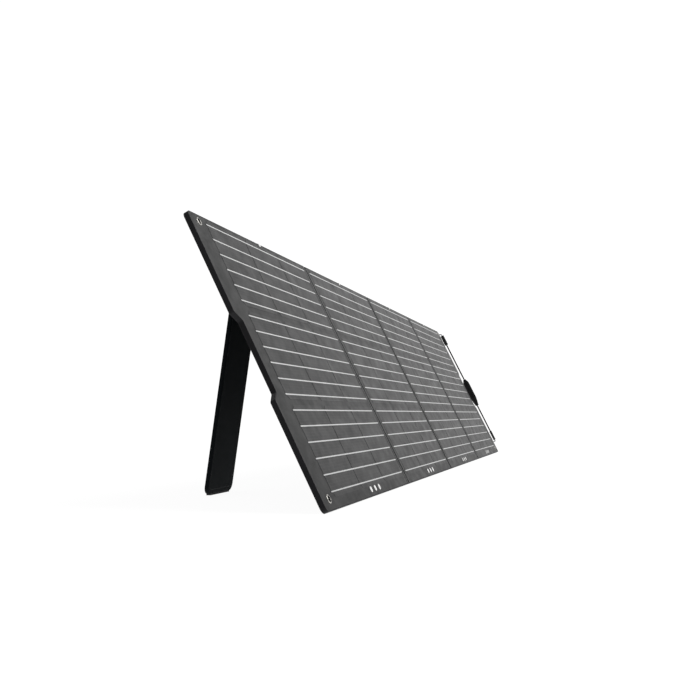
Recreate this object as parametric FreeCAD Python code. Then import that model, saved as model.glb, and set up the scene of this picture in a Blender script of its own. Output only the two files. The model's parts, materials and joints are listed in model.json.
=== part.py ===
"""Folding solar panel kit: four hinged panels that stand leaning back on two kick-stand legs.

Units are millimetres. Everything is first built lying flat in the panel's own frame:
X runs along the four panels, Y up their slope and Z out of the glass side, with the front
surface at Z = 0 and the bottom edge at Y = 0. It is then tilted about X and set down so that
the ground is at Z = 0 and the origin is the middle of the object's footprint.
"""
import FreeCAD, Part
import math
import os

from FreeCAD import Vector

# Driving dimensions: panel
PANEL_TILT = 63.5            # slope of the panel above the ground, degrees
PANEL_HEIGHT = 512.0         # along the slope
PANEL_THICK = 9.0
FOLD_PITCH = 548.0           # from one fold line to the next
LEFT_SPAN = 589.0            # from the left fold line to the left free edge
RIGHT_SPAN = 579.0           # from the right fold line to the right free edge
FOLD_GAP = 8.0               # width of the soft strip between two panels
BACK_ROUND = 1.0             # rounding of the back edges
CORNER_ROUND = 10.0          # rounding of the four free corners
RIM_WIDTH = 6.0
BACK_WALL = 2.0
SHEET_THICK = 1.0
SHEET_INSET = 1.5
FOLD_CLEARANCE = 0.3
BAND_INSET = 5.0             # fold strip's end from the panels' edges

# Hand recess in both free edges
RECESS_DEPTH = 22.0
RECESS_OUTER = 150.0
RECESS_INNER = 122.0
RECESS_RISE = 257.5          # its middle above the bottom edge
RECESS_ROUND = 5.0

# Solar cells and their ribbons
RIBBON_PITCH = 27.7
RIBBONS_PER_CELL = 6
CELL_ROWS = 3
CELL_COLUMNS = 3
CELL_PITCH = 170.0
CELL_WIDTH = 165.0
CELL_HEIGHT = 156.0
CELL_CORNER = 9.0
CELL_THICK = 0.25
RIBBON_WIDTH = 2.2
RIBBON_THICK = 0.2
TOP_RIBBON_DROP = 14.0       # first ribbon below the top edge
LEFT_MARGIN = 60.0           # left free edge to the first cell
FOLD_MARGIN = 19.0           # fold line to the nearest cell

# Spacer pads
PAD_RADIUS = 5.5
PAD_HEIGHT = 1.0
PAD_SPACING = 30.0
PAD_RISE = 12.3              # centre above the bottom edge
BUMPER_WIDTH = 8.0
BUMPER_LAP = 5.0
BUMPER_THICK = 0.8

# Corner eyelets
EYELET_BORE = 4.0
EYELET_BARREL = 5.0
EYELET_FLANGE = 7.3
EYELET_LIP = 0.8
EYELET_INSET = 33.6
EYELET_LOW = 18.0
EYELET_HIGH = 498.0

# Fold axes, measured from the front and back surfaces
VALLEY_OFFSET = 3.0
MOUNTAIN_OFFSET = 1.5
BAND_THICK = 0.8

# Kick-stand legs
LEG_SPREAD = 34.4            # angle between the leg and the panel's back, degrees
LEG_MIDDLE = 837.5           # leg's centre line from the middle fold
LEG_WIDTH = 114.0
LEG_THICK = 8.0
LEG_CORNER = 14.0
LEG_EDGE_ROUND = 2.0
LEG_TOP_GAP = 8.0            # hinge axis to the top of the leg board
SOLE_HEIGHT = 4.0
LEG_AXIS_RISE = 500.0
LEG_AXIS_OFFSET = 7.5        # hinge axis behind the panel's back
KNUCKLE_RADIUS = 5.0
PIN_RADIUS = 2.5
PIN_CLEARANCE = 0.06
PIN_HEAD_RADIUS = 3.6
PIN_HEAD = 1.2
LEAF_HALF = 28.0
BRACKET_HALF = 48.0
BRACKET_THICK = 2.0
BRACKET_BELOW = 26.0
BRACKET_ABOVE = 9.0
KNUCKLE_GAP = 0.4
TONGUE_THICK = 3.0
TONGUE_LENGTH = 38.0
STOP_HEEL = 7.0              # the tongue's upper end meets the bracket when the leg is out
SCREW_SHANK = 1.6
SCREW_HEAD = 3.2
SCREW_HEAD_DEPTH = 1.2
RIVET_RADIUS = 2.5
RIVET_HEAD = 4.0
RIVET_HEAD_HEIGHT = 0.7

# Carry handle on the right-hand free edge
PIVOT_OUT = 7.0              # pivot axis beyond the free edge
BAIL_REACH = 35.0            # bar from the pivot axis
BAIL_LIFT = 12.0             # how far the bail is swung to the front, degrees
ARM_RADIUS = 2.0
ARM_BEND = 5.0
ARM_CLEARANCE = 0.05
BAR_RADIUS = 2.5
LUG_RADIUS = 4.0
LUG_LENGTH = 14.0
LUG_FLANGE = 8.0
LUG_FLANGE_THICK = 1.6
TOP_LUG = 480.0
BOTTOM_LUG = 48.0
TOP_TURN = 502.0
BOTTOM_TURN = 41.0
ARM_SEAT = 20.0
TOP_SLEEVE = (456.0, 496.0, 6.5)
BOTTOM_SLEEVE = (47.0, 83.0, 4.4)
GRIP_SPAN = (193.0, 303.0)
GRIP_RADIUS = 11.0
GRIP_END_RADIUS = 6.5
GRIP_TAPER = (28.0, 14.0)    # at the lower and the upper end

# Output box on the back of the right-hand panel
BOX_INSET = 120.0            # centre from the free edge
BOX_RISE = 300.0
BOX_WIDTH = 96.0
BOX_LENGTH = 62.0
BOX_DEPTH = 14.0
BOX_WALL = 2.5
LID_THICK = 2.5
SEAL_THICK = 1.0
BOX_SCREW_INSET = 6.0
SOCKET_RADIUS = 6.0
SOCKET_REACH = 7.0
SOCKET_SPACING = 44.0

# Derived positions
LEFT_EDGE = -FOLD_PITCH - LEFT_SPAN
RIGHT_EDGE = FOLD_PITCH + RIGHT_SPAN
BACK = -PANEL_THICK
TILT = math.radians(PANEL_TILT)
LEG_LEAN = PANEL_TILT + LEG_SPREAD - 90.0
LEG_AXIS_Z = BACK - LEG_AXIS_OFFSET
PIVOT_X = RIGHT_EDGE + PIVOT_OUT
PIVOT_Z = BACK / 2
GROUND = BACK_ROUND * math.sin(TILT) + (BACK + BACK_ROUND) * math.cos(TILT) - BACK_ROUND
HINGE_DROP = LEG_AXIS_RISE * math.sin(TILT) + LEG_AXIS_Z * math.cos(TILT) - GROUND
HINGE_DEPTH = LEG_AXIS_RISE * math.cos(TILT) - LEG_AXIS_Z * math.sin(TILT)
LEG_LENGTH = HINGE_DROP / math.cos(math.radians(LEG_LEAN))
FOOTPRINT_DEPTH = (HINGE_DEPTH + HINGE_DROP * math.tan(math.radians(LEG_LEAN))
                   + LEG_THICK / 2 / math.cos(math.radians(LEG_LEAN)))
BAIL_EDGE = PIVOT_X + BAIL_REACH * math.cos(math.radians(BAIL_LIFT)) + GRIP_RADIUS
SHIFT = Vector(-(LEFT_EDGE + BAIL_EDGE) / 2, -FOOTPRINT_DEPTH / 2, -GROUND)

# Spans of the four panels along X, and which edge of each is free
SPANS = [
    (LEFT_EDGE, -FOLD_PITCH - FOLD_GAP / 2),
    (-FOLD_PITCH + FOLD_GAP / 2, -FOLD_GAP / 2),
    (FOLD_GAP / 2, FOLD_PITCH - FOLD_GAP / 2),
    (FOLD_PITCH + FOLD_GAP / 2, RIGHT_EDGE),
]
FREE_SIDE = [-1, 0, 0, 1]


def to_row(point):
    """Carry a point from the flat panel frame to the standing frame."""
    turned = FreeCAD.Rotation(Vector(1, 0, 0), PANEL_TILT).multVec(point)
    return turned + SHIFT


def stand(shape):
    """Tilt a flat shape up and set it on the ground."""
    placed = shape.copy()
    placed.rotate(Vector(), Vector(1, 0, 0), PANEL_TILT)
    placed.translate(SHIFT)
    return placed


def save(name, shapes):
    """Write one sub-part, made of one or more solids, already standing."""
    solids = [solid for shape in shapes for solid in shape.Solids]
    body = solids[0] if len(solids) == 1 else Part.makeCompound(solids)
    body.exportStep(os.path.join("parts", name + ".step"))


def block(low, high):
    """Box between two corners."""
    size = [b - a for a, b in zip(low, high)]
    return Part.makeBox(size[0], size[1], size[2], Vector(*low))


def rod(radius, start, end):
    """Round bar between two points."""
    axis = Vector(*end) - Vector(*start)
    return Part.makeCylinder(radius, axis.Length, Vector(*start), axis)


def prism(points, low, high):
    """Flat outline raised from one height to another."""
    corners = [Vector(x, y, low) for x, y in points]
    face = Part.Face(Part.makePolygon(corners + corners[:1]))
    return face.extrude(Vector(0, 0, high - low))


def edges_where(shape, test):
    """Edges whose both ends, and middle, pass a test."""
    found = []
    for edge in shape.Edges:
        middle = edge.valueAt((edge.FirstParameter + edge.LastParameter) / 2)
        points = [vertex.Point for vertex in edge.Vertexes] + [middle]
        if all(test(point) for point in points):
            found.append(edge)
    return found


def rims(shape):
    """Circular edges that close on themselves."""
    return [edge for edge in shape.Edges if isinstance(edge.Curve, Part.Circle) and edge.isClosed()]


def upright_edges(shape, test):
    """Edges that run straight along Z and pass a test."""
    found = []
    for edge in edges_where(shape, test):
        ends = [vertex.Point for vertex in edge.Vertexes]
        if len(ends) == 2 and abs((ends[1] - ends[0]).z) > 0.99 * edge.Length:
            found.append(edge)
    return found


def panel_outline(index, inset=0.0):
    """Outline of a panel, moved in by an inset; free edges have the hand recess."""
    left, right = SPANS[index]
    low, high = inset, PANEL_HEIGHT - inset
    left, right = left + inset, right - inset
    side = FREE_SIDE[index]
    if side == 0:
        return [(left, low), (right, low), (right, high), (left, high)]
    middle = RECESS_RISE
    slant = (RECESS_OUTER - RECESS_INNER) / 2
    spread = inset * math.tan((math.pi / 2 - math.atan2(slant, RECESS_DEPTH)) / 2)
    outer, inner = RECESS_OUTER / 2 + spread, RECESS_INNER / 2 + spread
    edge = right if side > 0 else left
    floor = edge - side * RECESS_DEPTH
    notch = [(edge, middle - outer), (floor, middle - inner),
             (floor, middle + inner), (edge, middle + outer)]
    if side > 0:
        return [(left, low), (right, low)] + notch + [(right, high), (left, high)]
    return [(left, high), (right, high), (right, low), (left, low)] + notch


def eyelet_centres(index):
    """Centres of the two eyelets in a panel's free edge."""
    side = FREE_SIDE[index]
    if side == 0:
        return []
    x = SPANS[index][0] + EYELET_INSET if side < 0 else SPANS[index][1] - EYELET_INSET
    return [(x, EYELET_LOW), (x, EYELET_HIGH)]


def pierce(shape, index):
    """Cut the eyelet holes through a flat layer."""
    for x, y in eyelet_centres(index):
        shape = shape.cut(rod(EYELET_BARREL, (x, y, BACK - 1), (x, y, 1)))
    return shape


def bracket_screws(middle):
    """Screws that hold one leg bracket: a sunk head and a short shank."""
    top = BACK - BRACKET_THICK
    screws = []
    for offset in (-38.0, -13.0, 13.0, 38.0):
        x, y = middle + offset, LEG_AXIS_RISE - 19.0
        head = rod(SCREW_HEAD, (x, y, top), (x, y, top + SCREW_HEAD_DEPTH))
        shank = rod(SCREW_SHANK, (x, y, top), (x, y, BACK + BACK_WALL))
        screws.append(head.fuse(shank).removeSplitter())
    return screws


def free_corners(shape, index, inset=0.0):
    """Round a layer's free corners and those of its hand recess."""
    side = FREE_SIDE[index]
    if side == 0:
        return shape
    near = RIGHT_EDGE - RECESS_DEPTH - RIM_WIDTH - 1
    ends = upright_edges(shape, lambda p: p.x * side > near and abs(p.y - RECESS_RISE) > RECESS_OUTER)
    shape = shape.makeFillet(CORNER_ROUND - inset, ends)
    notch = upright_edges(shape, lambda p: p.x * side > near and abs(p.y - RECESS_RISE) < RECESS_OUTER)
    return shape.makeFillet(RECESS_ROUND - inset, notch)


def sheet_blank(index, top):
    """Front sheet's own outline, from its seat up to a height."""
    blank = prism(panel_outline(index, SHEET_INSET), -SHEET_THICK, top)
    return free_corners(blank, index, SHEET_INSET)


def panel_shell(index, tools):
    """Tray of one panel: a rim and a back wall with rounded edges, holding sheet and core."""
    shell = free_corners(prism(panel_outline(index), BACK, 0), index)
    shell = shell.makeFillet(BACK_ROUND, edges_where(shell, lambda p: abs(p.z - BACK) < 0.01))
    core = prism(panel_outline(index, RIM_WIDTH), BACK + BACK_WALL, -SHEET_THICK)
    shell = pierce(shell.cut(core).cut(sheet_blank(index, 1)), index)
    for tool in tools:
        shell = shell.cut(tool)
    return shell


def panel_core(index):
    """Stiff honeycomb board that fills a panel's tray."""
    return pierce(prism(panel_outline(index, RIM_WIDTH), BACK + BACK_WALL, -SHEET_THICK), index)


def panel_sheet(index):
    """Front laminate, with rounded free corners, that the cells are bonded to."""
    return pierce(sheet_blank(index, 0), index)


def first_cell(index):
    """X where a panel's first cell starts."""
    left = SPANS[index][0]
    return left + (LEFT_MARGIN if FREE_SIDE[index] < 0 else FOLD_MARGIN - FOLD_GAP / 2)


def ribbon_rise(number):
    """Y of a ribbon, counted down from the top one."""
    return PANEL_HEIGHT - TOP_RIBBON_DROP - number * RIBBON_PITCH


def panel_cells(index):
    """Nine cells with clipped corners."""
    cells = []
    spare = (CELL_PITCH - CELL_WIDTH) / 2
    overhang = (CELL_HEIGHT - (RIBBONS_PER_CELL - 1) * RIBBON_PITCH) / 2
    for row in range(CELL_ROWS):
        top = ribbon_rise(row * RIBBONS_PER_CELL) + overhang
        for column in range(CELL_COLUMNS):
            x = first_cell(index) + column * CELL_PITCH + spare
            cell = prism([(x, top - CELL_HEIGHT), (x + CELL_WIDTH, top - CELL_HEIGHT),
                          (x + CELL_WIDTH, top), (x, top)], 0, CELL_THICK)
            cells.append(cell.makeChamfer(CELL_CORNER, upright_edges(cell, lambda p: True)))
    return cells


def panel_ribbons(index):
    """Tinned ribbons that join each row of cells."""
    start = first_cell(index)
    end = start + CELL_COLUMNS * CELL_PITCH
    top = CELL_THICK + RIBBON_THICK
    ribbons = []
    for number in range(CELL_ROWS * RIBBONS_PER_CELL):
        y = ribbon_rise(number)
        ribbons.append(block((start, y - RIBBON_WIDTH / 2, CELL_THICK),
                             (end, y + RIBBON_WIDTH / 2, top)))
    return ribbons


def panel_pads(index):
    """Three round spacer pads on the bottom margin and a bumper over the top edge."""
    middle = first_cell(index) + CELL_COLUMNS * CELL_PITCH / 2
    pads = []
    for step in (-1, 0, 1):
        x = middle + step * PAD_SPACING
        pad = rod(PAD_RADIUS, (x, PAD_RISE, 0), (x, PAD_RISE, PAD_HEIGHT))
        pads.append(pad.makeFillet(0.4, edges_where(pad, lambda p: p.z > PAD_HEIGHT - 0.01)))
    half = BUMPER_WIDTH / 2
    lip = block((middle - half, PANEL_HEIGHT - BUMPER_LAP, 0),
                (middle + half, PANEL_HEIGHT + BUMPER_THICK, BUMPER_THICK))
    wrap = block((middle - half, PANEL_HEIGHT, BACK + BACK_ROUND + 0.5),
                 (middle + half, PANEL_HEIGHT + BUMPER_THICK, BUMPER_THICK))
    return pads + [lip.fuse(wrap).removeSplitter()]


def eyelet(x, y):
    """Rolled metal eyelet through the whole panel."""
    barrel = rod(EYELET_BARREL, (x, y, BACK - EYELET_LIP), (x, y, EYELET_LIP))
    front = rod(EYELET_FLANGE, (x, y, 0), (x, y, EYELET_LIP))
    back = rod(EYELET_FLANGE, (x, y, BACK - EYELET_LIP), (x, y, BACK))
    body = barrel.fuse(front).fuse(back).removeSplitter()
    body = body.cut(rod(EYELET_BORE, (x, y, BACK - 2), (x, y, 2)))
    rim = edges_where(body, lambda p: math.hypot(p.x - x, p.y - y) > EYELET_FLANGE - 0.01
                      and (p.z > EYELET_LIP - 0.01 or p.z < BACK - EYELET_LIP + 0.01))
    return body.makeFillet(0.35, rim)


def fold_band(fold_x, parent_side, level):
    """Soft strip that bridges one fold; it is fixed to the panel on the parent's side."""
    near = fold_x + parent_side * FOLD_GAP / 2
    far = fold_x - parent_side * (FOLD_GAP / 2 - FOLD_CLEARANCE)
    low, high = min(near, far), max(near, far)
    return block((low, BAND_INSET, level), (high, PANEL_HEIGHT - BAND_INSET, level + BAND_THICK))


def leg_middle(side):
    """X of a leg's centre line; side is -1 on the left and 1 on the right."""
    return side * LEG_MIDDLE


def leg_bracket(side):
    """Base plate on the panel's back with the two outer knuckles of the leg's hinge."""
    middle = leg_middle(side)
    plate = block((middle - BRACKET_HALF, LEG_AXIS_RISE - BRACKET_BELOW, BACK - BRACKET_THICK),
                  (middle + BRACKET_HALF, LEG_AXIS_RISE + BRACKET_ABOVE, BACK))
    plate = plate.makeFillet(3.0, upright_edges(plate, lambda p: True))
    for hand in (-1, 1):
        inner = middle + hand * (LEAF_HALF + KNUCKLE_GAP)
        outer = middle + hand * BRACKET_HALF
        web = block((min(inner, outer), LEG_AXIS_RISE - KNUCKLE_RADIUS, LEG_AXIS_Z),
                    (max(inner, outer), LEG_AXIS_RISE + KNUCKLE_RADIUS, BACK - BRACKET_THICK))
        knuckle = rod(KNUCKLE_RADIUS, (inner, LEG_AXIS_RISE, LEG_AXIS_Z),
                      (outer, LEG_AXIS_RISE, LEG_AXIS_Z))
        plate = plate.fuse(web).fuse(knuckle)
    bore = rod(PIN_RADIUS, (middle - 60, LEG_AXIS_RISE, LEG_AXIS_Z),
               (middle + 60, LEG_AXIS_RISE, LEG_AXIS_Z))
    plate = plate.cut(bore).removeSplitter()
    for screw in bracket_screws(middle):
        plate = plate.cut(screw)
    return plate


def leg_pin(side):
    """Hinge pin with a head at each end."""
    middle = leg_middle(side)
    end = BRACKET_HALF + PIN_HEAD

    def at(x):
        return (middle + x, LEG_AXIS_RISE, LEG_AXIS_Z)

    pin = rod(PIN_RADIUS, at(-end), at(end))
    for hand in (-1, 1):
        pin = pin.fuse(rod(PIN_HEAD_RADIUS, at(hand * BRACKET_HALF), at(hand * end)))
    return pin.removeSplitter()


def leg_leaf(middle, rivets):
    """Middle knuckle and the tongue inside the leg board; its top end is the stop."""
    tongue = block((middle - LEAF_HALF, LEG_AXIS_RISE - TONGUE_LENGTH, LEG_AXIS_Z - TONGUE_THICK / 2),
                   (middle + LEAF_HALF, LEG_AXIS_RISE + STOP_HEEL, LEG_AXIS_Z + TONGUE_THICK / 2))
    knuckle = rod(KNUCKLE_RADIUS, (middle - LEAF_HALF, LEG_AXIS_RISE, LEG_AXIS_Z),
                  (middle + LEAF_HALF, LEG_AXIS_RISE, LEG_AXIS_Z))
    bore = rod(PIN_RADIUS + PIN_CLEARANCE, (middle - 60, LEG_AXIS_RISE, LEG_AXIS_Z),
               (middle + 60, LEG_AXIS_RISE, LEG_AXIS_Z))
    leaf = tongue.fuse(knuckle).cut(bore).removeSplitter()
    for rivet in rivets:
        leaf = leaf.cut(rivet)
    return leaf


def leg_rivets(middle):
    """Two rivets through the leg board and the tongue."""
    rivets = []
    front, back = LEG_AXIS_Z + LEG_THICK / 2, LEG_AXIS_Z - LEG_THICK / 2
    for hand in (-1, 1):
        x, y = middle + hand * 16.0, LEG_AXIS_RISE - 28.0
        rivet = rod(RIVET_RADIUS, (x, y, back), (x, y, front))
        rivet = rivet.fuse(rod(RIVET_HEAD, (x, y, front), (x, y, front + RIVET_HEAD_HEIGHT)))
        rivet = rivet.fuse(rod(RIVET_HEAD, (x, y, back - RIVET_HEAD_HEIGHT), (x, y, back)))
        rivets.append(rivet.removeSplitter())
    return rivets


def sole_blank(middle):
    """Rubber sole, left long below the ground line."""
    half = LEG_WIDTH / 2 - LEG_CORNER
    top = LEG_AXIS_RISE - LEG_LENGTH + SOLE_HEIGHT
    return block((middle - half, top - 3 * SOLE_HEIGHT, LEG_AXIS_Z - LEG_THICK / 2),
                 (middle + half, top, LEG_AXIS_Z + LEG_THICK / 2))


def leg_board(middle, leaf, rivets):
    """Flat leg board with rounded lower corners, a slot for the tongue and a notch for the sole."""
    left, right = middle - LEG_WIDTH / 2, middle + LEG_WIDTH / 2
    low, high = LEG_AXIS_RISE - LEG_LENGTH + SOLE_HEIGHT / 2, LEG_AXIS_RISE - LEG_TOP_GAP
    front, back = LEG_AXIS_Z + LEG_THICK / 2, LEG_AXIS_Z - LEG_THICK / 2
    board = prism([(left, low), (right, low), (right, high), (left, high)], back, front)
    board = board.makeFillet(LEG_CORNER, upright_edges(board, lambda p: p.y < low + 1))
    board = board.makeFillet(LEG_TOP_GAP / 2, upright_edges(board, lambda p: p.y > high - 1))
    board = board.makeFillet(LEG_EDGE_ROUND, edges_where(
        board, lambda p: abs(p.z - front) < 0.01 or abs(p.z - back) < 0.01))
    board = board.cut(sole_blank(middle)).cut(leaf)
    for rivet in rivets:
        board = board.cut(rivet)
    return board


def open_leg(shape):
    """Swing a leg part out from the panel's back to the standing position."""
    swung = shape.copy()
    swung.rotate(Vector(0, LEG_AXIS_RISE, LEG_AXIS_Z), Vector(1, 0, 0), LEG_SPREAD)
    return stand(swung)


def write_leg(side, name):
    """One kick-stand leg with its hinge."""
    middle = leg_middle(side)
    rivets = leg_rivets(middle)
    leaf = leg_leaf(middle, rivets)
    save("leg_bracket_" + name, [stand(leg_bracket(side))])
    save("leg_pin_" + name, [stand(leg_pin(side))])
    save("leg_bracket_screws_" + name, [stand(screw) for screw in bracket_screws(middle)])
    save("leg_leaf_" + name, [open_leg(leaf)])
    save("leg_rivets_" + name, [open_leg(rivet) for rivet in rivets])
    save("leg_board_" + name, [open_leg(leg_board(middle, leaf, rivets))])
    below = block((2 * LEFT_EDGE, -PANEL_HEIGHT, -100), (2 * RIGHT_EDGE, 2 * PANEL_HEIGHT, 0))
    save("leg_sole_" + name, [open_leg(sole_blank(middle)).cut(below)])


def lift_bail(shape):
    """Swing a handle part to the front about its pivot and stand it up."""
    swung = shape.copy()
    swung.rotate(Vector(PIVOT_X, 0, PIVOT_Z), Vector(0, 1, 0), -BAIL_LIFT)
    return stand(swung)


def handle_lug(low):
    """Small bearing block screwed to the side wall."""
    high = low + LUG_LENGTH
    lug = rod(LUG_RADIUS, (PIVOT_X, low, PIVOT_Z), (PIVOT_X, high, PIVOT_Z))
    lug = lug.fuse(block((RIGHT_EDGE, low, PIVOT_Z - LUG_RADIUS),
                         (PIVOT_X, high, PIVOT_Z + LUG_RADIUS)))
    lug = lug.fuse(block((RIGHT_EDGE, low - LUG_FLANGE, PIVOT_Z - 3.6),
                         (RIGHT_EDGE + LUG_FLANGE_THICK, high + LUG_FLANGE, PIVOT_Z + 3.6)))
    bore = rod(ARM_RADIUS + ARM_CLEARANCE, (PIVOT_X, low - 1, PIVOT_Z), (PIVOT_X, high + 1, PIVOT_Z))
    lug = lug.cut(bore).removeSplitter()
    for screw in lug_screws():
        lug = lug.cut(screw)
    return lug


def lug_screws():
    """Two screws through the flange of each bearing block."""
    screws = []
    face = RIGHT_EDGE + LUG_FLANGE_THICK
    for low in (TOP_LUG, BOTTOM_LUG):
        for y in (low - LUG_FLANGE / 2, low + LUG_LENGTH + LUG_FLANGE / 2):
            shank = rod(1.2, (face - RIM_WIDTH, y, PIVOT_Z), (face, y, PIVOT_Z))
            head = rod(2.4, (face, y, PIVOT_Z), (face + 1.2, y, PIVOT_Z))
            head = head.makeFillet(0.5, edges_where(head, lambda p: p.x > face + 1.19))
            screws.append(head.fuse(shank).removeSplitter())
    return screws


def bail_arm(seat, turn, tip):
    """Steel arm: out of its bearing block, across, and back into a sleeve of the bar."""
    bar_x = PIVOT_X + BAIL_REACH
    lean = 1 if turn > seat else -1
    bend = ARM_BEND
    diagonal = bend * (1 - math.sqrt(0.5))
    points = [
        (PIVOT_X, seat), (PIVOT_X, turn - lean * bend),
        (PIVOT_X + diagonal, turn - lean * diagonal), (PIVOT_X + bend, turn),
        (bar_x - bend, turn), (bar_x - diagonal, turn - lean * diagonal),
        (bar_x, turn - lean * bend), (bar_x, tip),
    ]
    at = [Vector(x, y, PIVOT_Z) for x, y in points]
    path = Part.Wire([
        Part.makeLine(at[0], at[1]), Part.Arc(at[1], at[2], at[3]).toShape(),
        Part.makeLine(at[3], at[4]), Part.Arc(at[4], at[5], at[6]).toShape(),
        Part.makeLine(at[6], at[7]),
    ])
    ring = Part.Wire(Part.makeCircle(ARM_RADIUS, at[0], Vector(0, 1, 0)))
    return path.makePipeShell([ring], True, False)


def bail_sleeve(low, high, radius, step, upper_first):
    """Sleeve that joins an arm to the bar; its bore narrows from bar size to arm size."""
    x = PIVOT_X + BAIL_REACH
    sleeve = rod(radius, (x, low, PIVOT_Z), (x, high, PIVOT_Z))
    sleeve = sleeve.makeFillet(1.2, rims(sleeve))
    bar_end, arm_end = (low - 1, high + 1) if upper_first else (high + 1, low - 1)
    sleeve = sleeve.cut(rod(BAR_RADIUS, (x, bar_end, PIVOT_Z), (x, step, PIVOT_Z)))
    return sleeve.cut(rod(ARM_RADIUS, (x, step, PIVOT_Z), (x, arm_end, PIVOT_Z)))


def bail_grip():
    """Moulded grip round the bar with tapered ends."""
    x = PIVOT_X + BAIL_REACH
    low, high = GRIP_SPAN
    profile = [(BAR_RADIUS, low), (GRIP_END_RADIUS, low), (GRIP_RADIUS, low + GRIP_TAPER[0]),
               (GRIP_RADIUS, high - GRIP_TAPER[1]), (GRIP_END_RADIUS, high), (BAR_RADIUS, high)]
    corners = [Vector(x + r, y, PIVOT_Z) for r, y in profile]
    face = Part.Face(Part.makePolygon(corners + corners[:1]))
    grip = face.revolve(Vector(x, 0, PIVOT_Z), Vector(0, 1, 0), 360)
    shoulders = [edge for edge in rims(grip) if edge.Curve.Radius > GRIP_END_RADIUS + 1]
    return grip.makeFillet(4.0, shoulders)


def write_handle():
    """Carry handle: a steel bail with a soft bar and a moulded grip."""
    bar_x = PIVOT_X + BAIL_REACH
    top_step, bottom_step = TOP_SLEEVE[1] - ARM_SEAT, BOTTOM_SLEEVE[0] + ARM_SEAT
    save("handle_lugs", [stand(handle_lug(TOP_LUG)), stand(handle_lug(BOTTOM_LUG))])
    save("handle_lug_screws", [stand(screw) for screw in lug_screws()])
    save("handle_arm_top", [lift_bail(bail_arm(TOP_LUG, TOP_TURN, top_step))])
    save("handle_arm_bottom",
         [lift_bail(bail_arm(BOTTOM_LUG + LUG_LENGTH, BOTTOM_TURN, bottom_step))])
    save("handle_bar", [lift_bail(rod(BAR_RADIUS, (bar_x, bottom_step, PIVOT_Z),
                                      (bar_x, top_step, PIVOT_Z)))])
    save("handle_grip", [lift_bail(bail_grip())])
    save("handle_sleeve_top", [lift_bail(bail_sleeve(*TOP_SLEEVE, top_step, True))])
    save("handle_sleeve_bottom", [lift_bail(bail_sleeve(*BOTTOM_SLEEVE, bottom_step, False))])


def box_span(extra=0.0):
    """Low and high X and Y of the output box, grown by an extra."""
    x, y = RIGHT_EDGE - BOX_INSET, BOX_RISE
    return (x - BOX_WIDTH / 2 - extra, y - BOX_LENGTH / 2 - extra,
            x + BOX_WIDTH / 2 + extra, y + BOX_LENGTH / 2 + extra)


def box_slab(extra, low, high, radius):
    """Rounded slab with the output box's plan."""
    x0, y0, x1, y1 = box_span(extra)
    slab = block((x0, y0, low), (x1, y1, high))
    return slab.makeFillet(radius, upright_edges(slab, lambda p: True))


def box_screw_centres():
    """The four screws in the corners of the output box."""
    x0, y0, x1, y1 = box_span(-BOX_SCREW_INSET)
    return [(x, y) for x in (x0, x1) for y in (y0, y1)]


def output_sockets():
    """Two round output sockets with push-on caps, below the box."""
    x = RIGHT_EDGE - BOX_INSET
    wall = box_span()[1]
    z = BACK - BOX_DEPTH / 2
    sockets = []
    for hand in (-1, 1):
        at = x + hand * SOCKET_SPACING / 2
        body = rod(SOCKET_RADIUS - 1, (at, wall, z), (at, wall - SOCKET_REACH, z))
        cap = rod(SOCKET_RADIUS, (at, wall - 2.5, z), (at, wall - SOCKET_REACH, z))
        sockets.append(body.fuse(cap).removeSplitter())
    return sockets


def write_output_box():
    """Output box: tray, seal, lid, terminal board, sockets and lid screws."""
    seal_level = BACK - BOX_DEPTH
    lid_level = seal_level - SEAL_THICK
    screws = []
    for x, y in box_screw_centres():
        head = rod(2.4, (x, y, lid_level - LID_THICK), (x, y, lid_level - LID_THICK + 1.4))
        shank = rod(1.2, (x, y, lid_level - LID_THICK), (x, y, BACK - BOX_WALL - 2))
        screws.append(head.fuse(shank).removeSplitter())
    tray = box_slab(0, seal_level, BACK, 5.0)
    tray = tray.cut(box_slab(-BOX_WALL, seal_level - 1, BACK - BOX_WALL, 3.0))
    for x, y in box_screw_centres():
        tray = tray.fuse(rod(3.4, (x, y, seal_level), (x, y, BACK - BOX_WALL)))
    seal = box_slab(0, lid_level, seal_level, 5.0)
    seal = seal.cut(box_slab(-BOX_WALL, lid_level - 1, seal_level + 1, 3.0))
    lid = box_slab(1.2, lid_level - LID_THICK, lid_level, 6.0)
    lid = lid.makeFillet(1.0, edges_where(lid, lambda p: p.z < lid_level - LID_THICK + 0.01))
    for screw in screws:
        tray, seal, lid = tray.cut(screw), seal.cut(screw), lid.cut(screw)
    board = block((RIGHT_EDGE - BOX_INSET - 30, BOX_RISE - 18, BACK - BOX_WALL - 1.6),
                  (RIGHT_EDGE - BOX_INSET + 30, BOX_RISE + 18, BACK - BOX_WALL))
    for offset in (-18, 0, 18):
        x = RIGHT_EDGE - BOX_INSET + offset
        diode = block((x - 5, BOX_RISE - 8, BACK - BOX_WALL - 5.6),
                      (x + 5, BOX_RISE + 8, BACK - BOX_WALL - 1.6))
        board = board.fuse(diode)
    save("output_tray", [stand(tray)])
    save("output_seal", [stand(seal)])
    save("output_lid", [stand(lid)])
    save("output_board", [stand(board)])
    save("output_sockets", [stand(socket) for socket in output_sockets()])
    save("output_lid_screws", [stand(screw) for screw in screws])


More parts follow.
